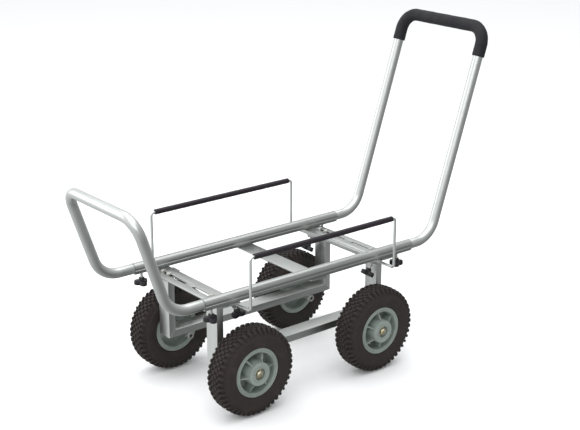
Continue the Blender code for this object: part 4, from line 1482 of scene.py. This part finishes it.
@dataclass
class Guards:
    """The two side guards: bent rods with vinyl sleeves on their top bars."""

    rod: float = 0.0040
    bend: float = 0.010
    sleeve: float = 0.0082
    sleeve_inset: float = 0.0125

    def build(self, shop: Workshop) -> None:
        """Make both guards."""
        for side, sign in SIDES:
            low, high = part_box(f"guard_rod_{side}")
            x0, x1 = low.x + self.rod, high.x - self.rod
            top, foot = high.z - self.rod, low.z + self.rod
            outer, inner = (low.y + self.rod, high.y) if sign < 0 else (high.y - self.rod, low.y)
            corners = [(x0, inner, foot), (x0, outer, foot), (x0, outer, top), (x1, outer, top),
                       (x1, outer, foot),
                       (x1, inner, foot)]
            path = rounded_path(corners, [self.bend] * 4, 8)
            start = (path[1] - path[0]).normalized()
            points = [path[0], path[0] + start * 0.0005, *path[1:-1], path[-1] + start * 0.0005, path[-1]]
            widths = [self.rod - 0.0006, *[self.rod] * (len(points) - 2), self.rod - 0.0006]
            mesh = shop.tube.sweep(points, widths, 24, shop.finishes["rod_aluminium"],
                                   f"guard_rod_{side}_shape")
            shop.add(f"guard_rod_{side}_bent", mesh, "rod_aluminium", f"{side}_guard", "aluminium",
                     f"guard_rod_{side}")
            self.build_sleeve(shop, side, outer, top, x0 + self.sleeve_inset, x1 - self.sleeve_inset)

    def build_sleeve(self, shop: Workshop, side: str, y: float, z: float, x0: float, x1: float) -> None:
        """Vinyl tube pushed over the top bar, slightly uneven along its length."""
        count = 60
        points = [Vector((x0, y, z)), Vector((x0 + 0.0001, y, z)), Vector((x0 + 0.0006, y, z))]
        widths = [self.rod + 0.0002, self.sleeve - 0.0009, self.sleeve - 0.0002]
        for step in range(1, count):
            share = step / count
            points.append(Vector((x0 + (x1 - x0) * share, y, z)))
            widths.append(self.sleeve - 0.0001 + 0.00012 * math.sin(step * 1.3) * math.sin(step * 0.37))
        points += [Vector((x1 - 0.0006, y, z)), Vector((x1 - 0.0001, y, z)), Vector((x1, y, z))]
        widths += [self.sleeve - 0.0002, self.sleeve - 0.0009, self.rod + 0.0002]
        mesh = shop.tube.sweep(points, widths, 28, shop.finishes["guard_vinyl"], f"guard_sleeve_{side}_shape")
        shop.add(f"guard_sleeve_{side}_vinyl", mesh, "guard_vinyl", f"{side}_guard", "vinyl",
                 f"guard_sleeve_{side}")


@dataclass
class Knobs:
    """The eight hand knobs and the four clamp blocks of the guard feet."""

    head: float = 0.0222
    thick: float = 0.0140
    waist: float = 0.54
    boss: float = 0.0090
    boss_h: float = 0.0085
    stud: float = 0.0040
    tilt: float = math.radians(32.0)
    reach: float = 0.0445
    guard_turn: float = math.radians(50.0)
    front_turn: float = math.radians(25.0)
    rear_turn: float = math.radians(-15.0)

    def lobes(self, inset: float) -> Callable[[float], float]:
        """Radius by angle of the three-lobed head, drawn in by inset."""

        def radius(angle: float) -> float:
            """Broad lobes with tighter waists."""
            lobe = (0.5 + 0.5 * math.cos(3 * angle)) ** 0.72
            return self.head * (self.waist + (1.0 - self.waist) * lobe) - inset

        return radius

    def knob(self, tip: float) -> list[bpy.types.Mesh]:
        """Head with a dished face and a boss, its face at z = 0, and the threaded stud up to tip."""
        top = self.thick
        rings = [(0.0012, self.lobes(0.0075)), (0.0006, self.lobes(0.0050)), (0.0, self.lobes(0.0032)),
                 (0.0004, self.lobes(0.0014)), (0.0016, self.lobes(0.0003)), (0.0034, self.lobes(0.0)),
                 (top - 0.0030, self.lobes(0.0004)), (top - 0.0012, self.lobes(0.0012)),
                 (top - 0.0002, self.lobes(0.0030)), (top, circle(self.boss + 0.0012)),
                 (top + 0.0010, circle(self.boss)), (top + self.boss_h - 0.0010, circle(self.boss - 0.0012)),
                 (top + self.boss_h, circle(self.boss - 0.0022)),
                 (top + self.boss_h, circle(self.stud + 0.0008))]
        head = Solid.stacked(rings, 72, "knob_head", 35.0)
        return [head, threaded_stud(self.stud, 0.00125, top + self.boss_h - 0.001, tip)]

    def build(self, shop: Workshop) -> None:
        """Make every knob and clamp."""
        for side, sign in SIDES:
            for end in ENDS:
                tag = f"{side}_{end}"
                self.build_handle_knob(shop, tag, end)
                self.build_guard_knob(shop, tag)

    def place_knob(self, shop: Workshop, name: str, tip: float, where: Matrix) -> None:
        """Put one knob's plastic head and metal stud in place."""
        head, stud = self.knob(tip)
        shop.add(f"{name}_head", Solid.moved(head, where), "knob_plastic", name, "knob", name)
        shop.add(f"{name}_stud", Solid.moved(stud, where), "zinc_plate", name, "zinc")

    def build_handle_knob(self, shop: Workshop, tag: str, end: str) -> None:
        """Knob under a rail that clamps a handle's spigot."""
        name = f"handle_knob_{tag}"
        low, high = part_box(name)
        spot, _ = shop.joint(f"handle_knob_turn_{tag}")
        turn = Matrix.Rotation(self.front_turn if end == "front" else self.rear_turn, 4, "Z")
        self.place_knob(shop, name, high.z - low.z, Matrix.Translation((spot.x, spot.y, low.z)) @ turn)

    def build_guard_knob(self, shop: Workshop, tag: str) -> None:
        """Clamp block of a guard's foot with its leaning knob."""
        name = f"guard_knob_{tag}"
        pivot, axis = shop.joint(f"guard_knob_turn_{tag}")
        reach = self.reach + self.thick / 2
        lean = self.tilt if axis.x < 0 else -self.tilt
        where = Matrix.Translation(pivot) @ Matrix.Rotation(lean, 4,
                                                            "Y") @ Matrix.Translation((0.0, 0.0, -reach))
        where = where @ Matrix.Rotation(self.guard_turn, 4, "Z")
        self.place_knob(shop, name, reach - self.stud - 0.0005, where)
        node = f"guard_clamp_{tag}"
        low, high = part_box(node)
        middle = (low + high) / 2
        outline = round_corners([(low.x, low.z, 0.0060), (high.x, low.z, 0.0060), (high.x, high.z, 0.0012),
                                 (low.x, high.z, 0.0012)], 4)
        block = Solid.prism(outline, "Y", low.y, high.y, node)
        stud_hole = Solid.moved(rod_mesh(self.stud + 0.0005, "Z", -0.030, -0.001, (0.0, 0.0), 24),
                                Matrix.Translation(pivot) @ Matrix.Rotation(lean, 4, "Y"))
        cutters = [rod_mesh(self.stud + 0.0004, "Y", low.y - 0.01, high.y + 0.01, (pivot.x, pivot.z), 32),
                   stud_hole]
        shape = Solid.carved(block, cutters, node + "_bored", 28.0)
        shape = Solid.eased(shape, 0.0006, node + "_shape", 2, 45.0)
        shop.add(f"{node}_block", shape, "clamp_alloy", "chassis", "zinc", node)
        nut = Solid.stacked([(0.0, circle(0.0064)), (0.0003, hexagon(0.0065)), (0.0038, hexagon(0.0065)),
                             (0.0042, circle(0.0062)), (0.0042, circle(0.0048))], 36, "lock_nut", 28.0)
        down = Matrix.Translation((0.0, 0.0, -0.0212))
        place = Matrix.Translation(pivot) @ Matrix.Rotation(lean, 4, "Y") @ down
        shop.add(f"{name}_lock_nut", Solid.moved(nut, place), "zinc_plate", name, "zinc")


@dataclass
class Studio:
    """Pale floor, soft light and the camera."""

    eye: tuple[float, float, float] = (-2.2235, -2.7590, 1.6630)
    target: tuple[float, float, float] = (0.0105, 0.0, 0.4642)
    lens: float = 79.55
    roll: float = math.radians(0.125)
    world: float = 0.74
    slopes: tuple[float, float] = (0.32, 0.36)

    def floor(self, shop: Workshop) -> None:
        """A large plain floor."""
        half = 14.0
        mesh = Solid.prism([(-half, -half), (half, -half), (half, half), (-half, half)], "Z", -0.02, -0.0004,
                           "floor")
        mesh.materials.append(shop.finishes["studio_floor"])
        floor = bpy.data.objects.new("studio_floor", mesh)
        bpy.context.collection.objects.link(floor)
        floor.visible_glossy = False

    def lights(self) -> None:
        """Soft boxes above, to the left and to the right."""
        for name, spot, aim, size, power in (
            ("key", (-2.6, -2.2, 3.6), (0.0, 0.0, 0.3), 4.2, 70.0),
            ("top", (0.4, 0.6, 4.2), (0.0, 0.0, 0.3), 5.0, 90.0),
            ("back", (-3.0, 3.4, 1.9), (0.0, 0.0, 0.3), 3.2, 40.0),
        ):
            data = bpy.data.lights.new(name, "AREA")
            data.shape = "SQUARE"
            data.size = size
            data.energy = power
            lamp = bpy.data.objects.new(name, data)
            lamp.location = spot
            lamp.rotation_mode = "QUATERNION"
            lamp.rotation_quaternion = (Vector(aim) - Vector(spot)).to_track_quat("-Z", "Y")
            bpy.context.collection.objects.link(lamp)

    def surround(self) -> None:
        """A pale surround, brighter overhead and towards the back left than low on the right."""
        world = bpy.data.worlds.new("surround")
        world.use_nodes = True
        tree = world.node_tree
        back = tree.nodes["Background"]
        coords = tree.nodes.new("ShaderNodeTexCoord")
        levels = []
        for aim in ((0.0, 0.0, 1.0), (-0.63, 0.77, 0.0)):
            dot = tree.nodes.new("ShaderNodeVectorMath")
            dot.operation = "DOT_PRODUCT"
            dot.inputs[1].default_value = aim
            tree.links.new(coords.outputs["Generated"], dot.inputs[0])
            levels.append(dot.outputs["Value"])
        total: bpy.types.NodeSocket | None = None
        for level, weight in zip(levels, self.slopes):
            scaled = tree.nodes.new("ShaderNodeMath")
            scaled.operation = "MULTIPLY_ADD"
            scaled.inputs[1].default_value = weight
            tree.links.new(level, scaled.inputs[0])
            if total is None:
                scaled.inputs[2].default_value = self.world
            else:
                tree.links.new(total, scaled.inputs[2])
            total = scaled.outputs[0]
        tree.links.new(total, back.inputs["Strength"])
        back.inputs["Color"].default_value = rgb(0.97, 0.985, 1.0)
        bpy.context.scene.world = world

    def camera(self) -> None:
        """The camera, at its fixed place."""
        data = bpy.data.cameras.new("camera")
        data.lens = self.lens
        data.sensor_width = 36.0
        data.clip_start = 0.1
        data.clip_end = 100.0
        camera = bpy.data.objects.new("camera", data)
        camera.location = self.eye
        camera.rotation_mode = "QUATERNION"
        aim = (Vector(self.target) - Vector(self.eye)).to_track_quat("-Z", "Y")
        camera.rotation_quaternion = aim @ Matrix.Rotation(self.roll, 3, "Z").to_quaternion()
        bpy.context.collection.objects.link(camera)
        bpy.context.scene.camera = camera

    def build(self, shop: Workshop) -> None:
        """Set the stage."""
        self.floor(shop)
        self.lights()
        self.surround()
        self.camera()
        bpy.context.scene.view_settings.view_transform = "Standard"


def main() -> None:
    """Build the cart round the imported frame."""
    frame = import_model()
    shop = Workshop(frame)
    for part in (Rails(), Handles(), Plates(), LegFrames(), Wheels(), Guards(), Knobs(), Studio()):
        part.build(shop)
        LOG.info("%s done", type(part).__name__)
    bpy.context.view_layer.update()


if __name__ == "__main__":
    logging.basicConfig(level=logging.INFO, format="%(name)s: %(message)s")
    main()
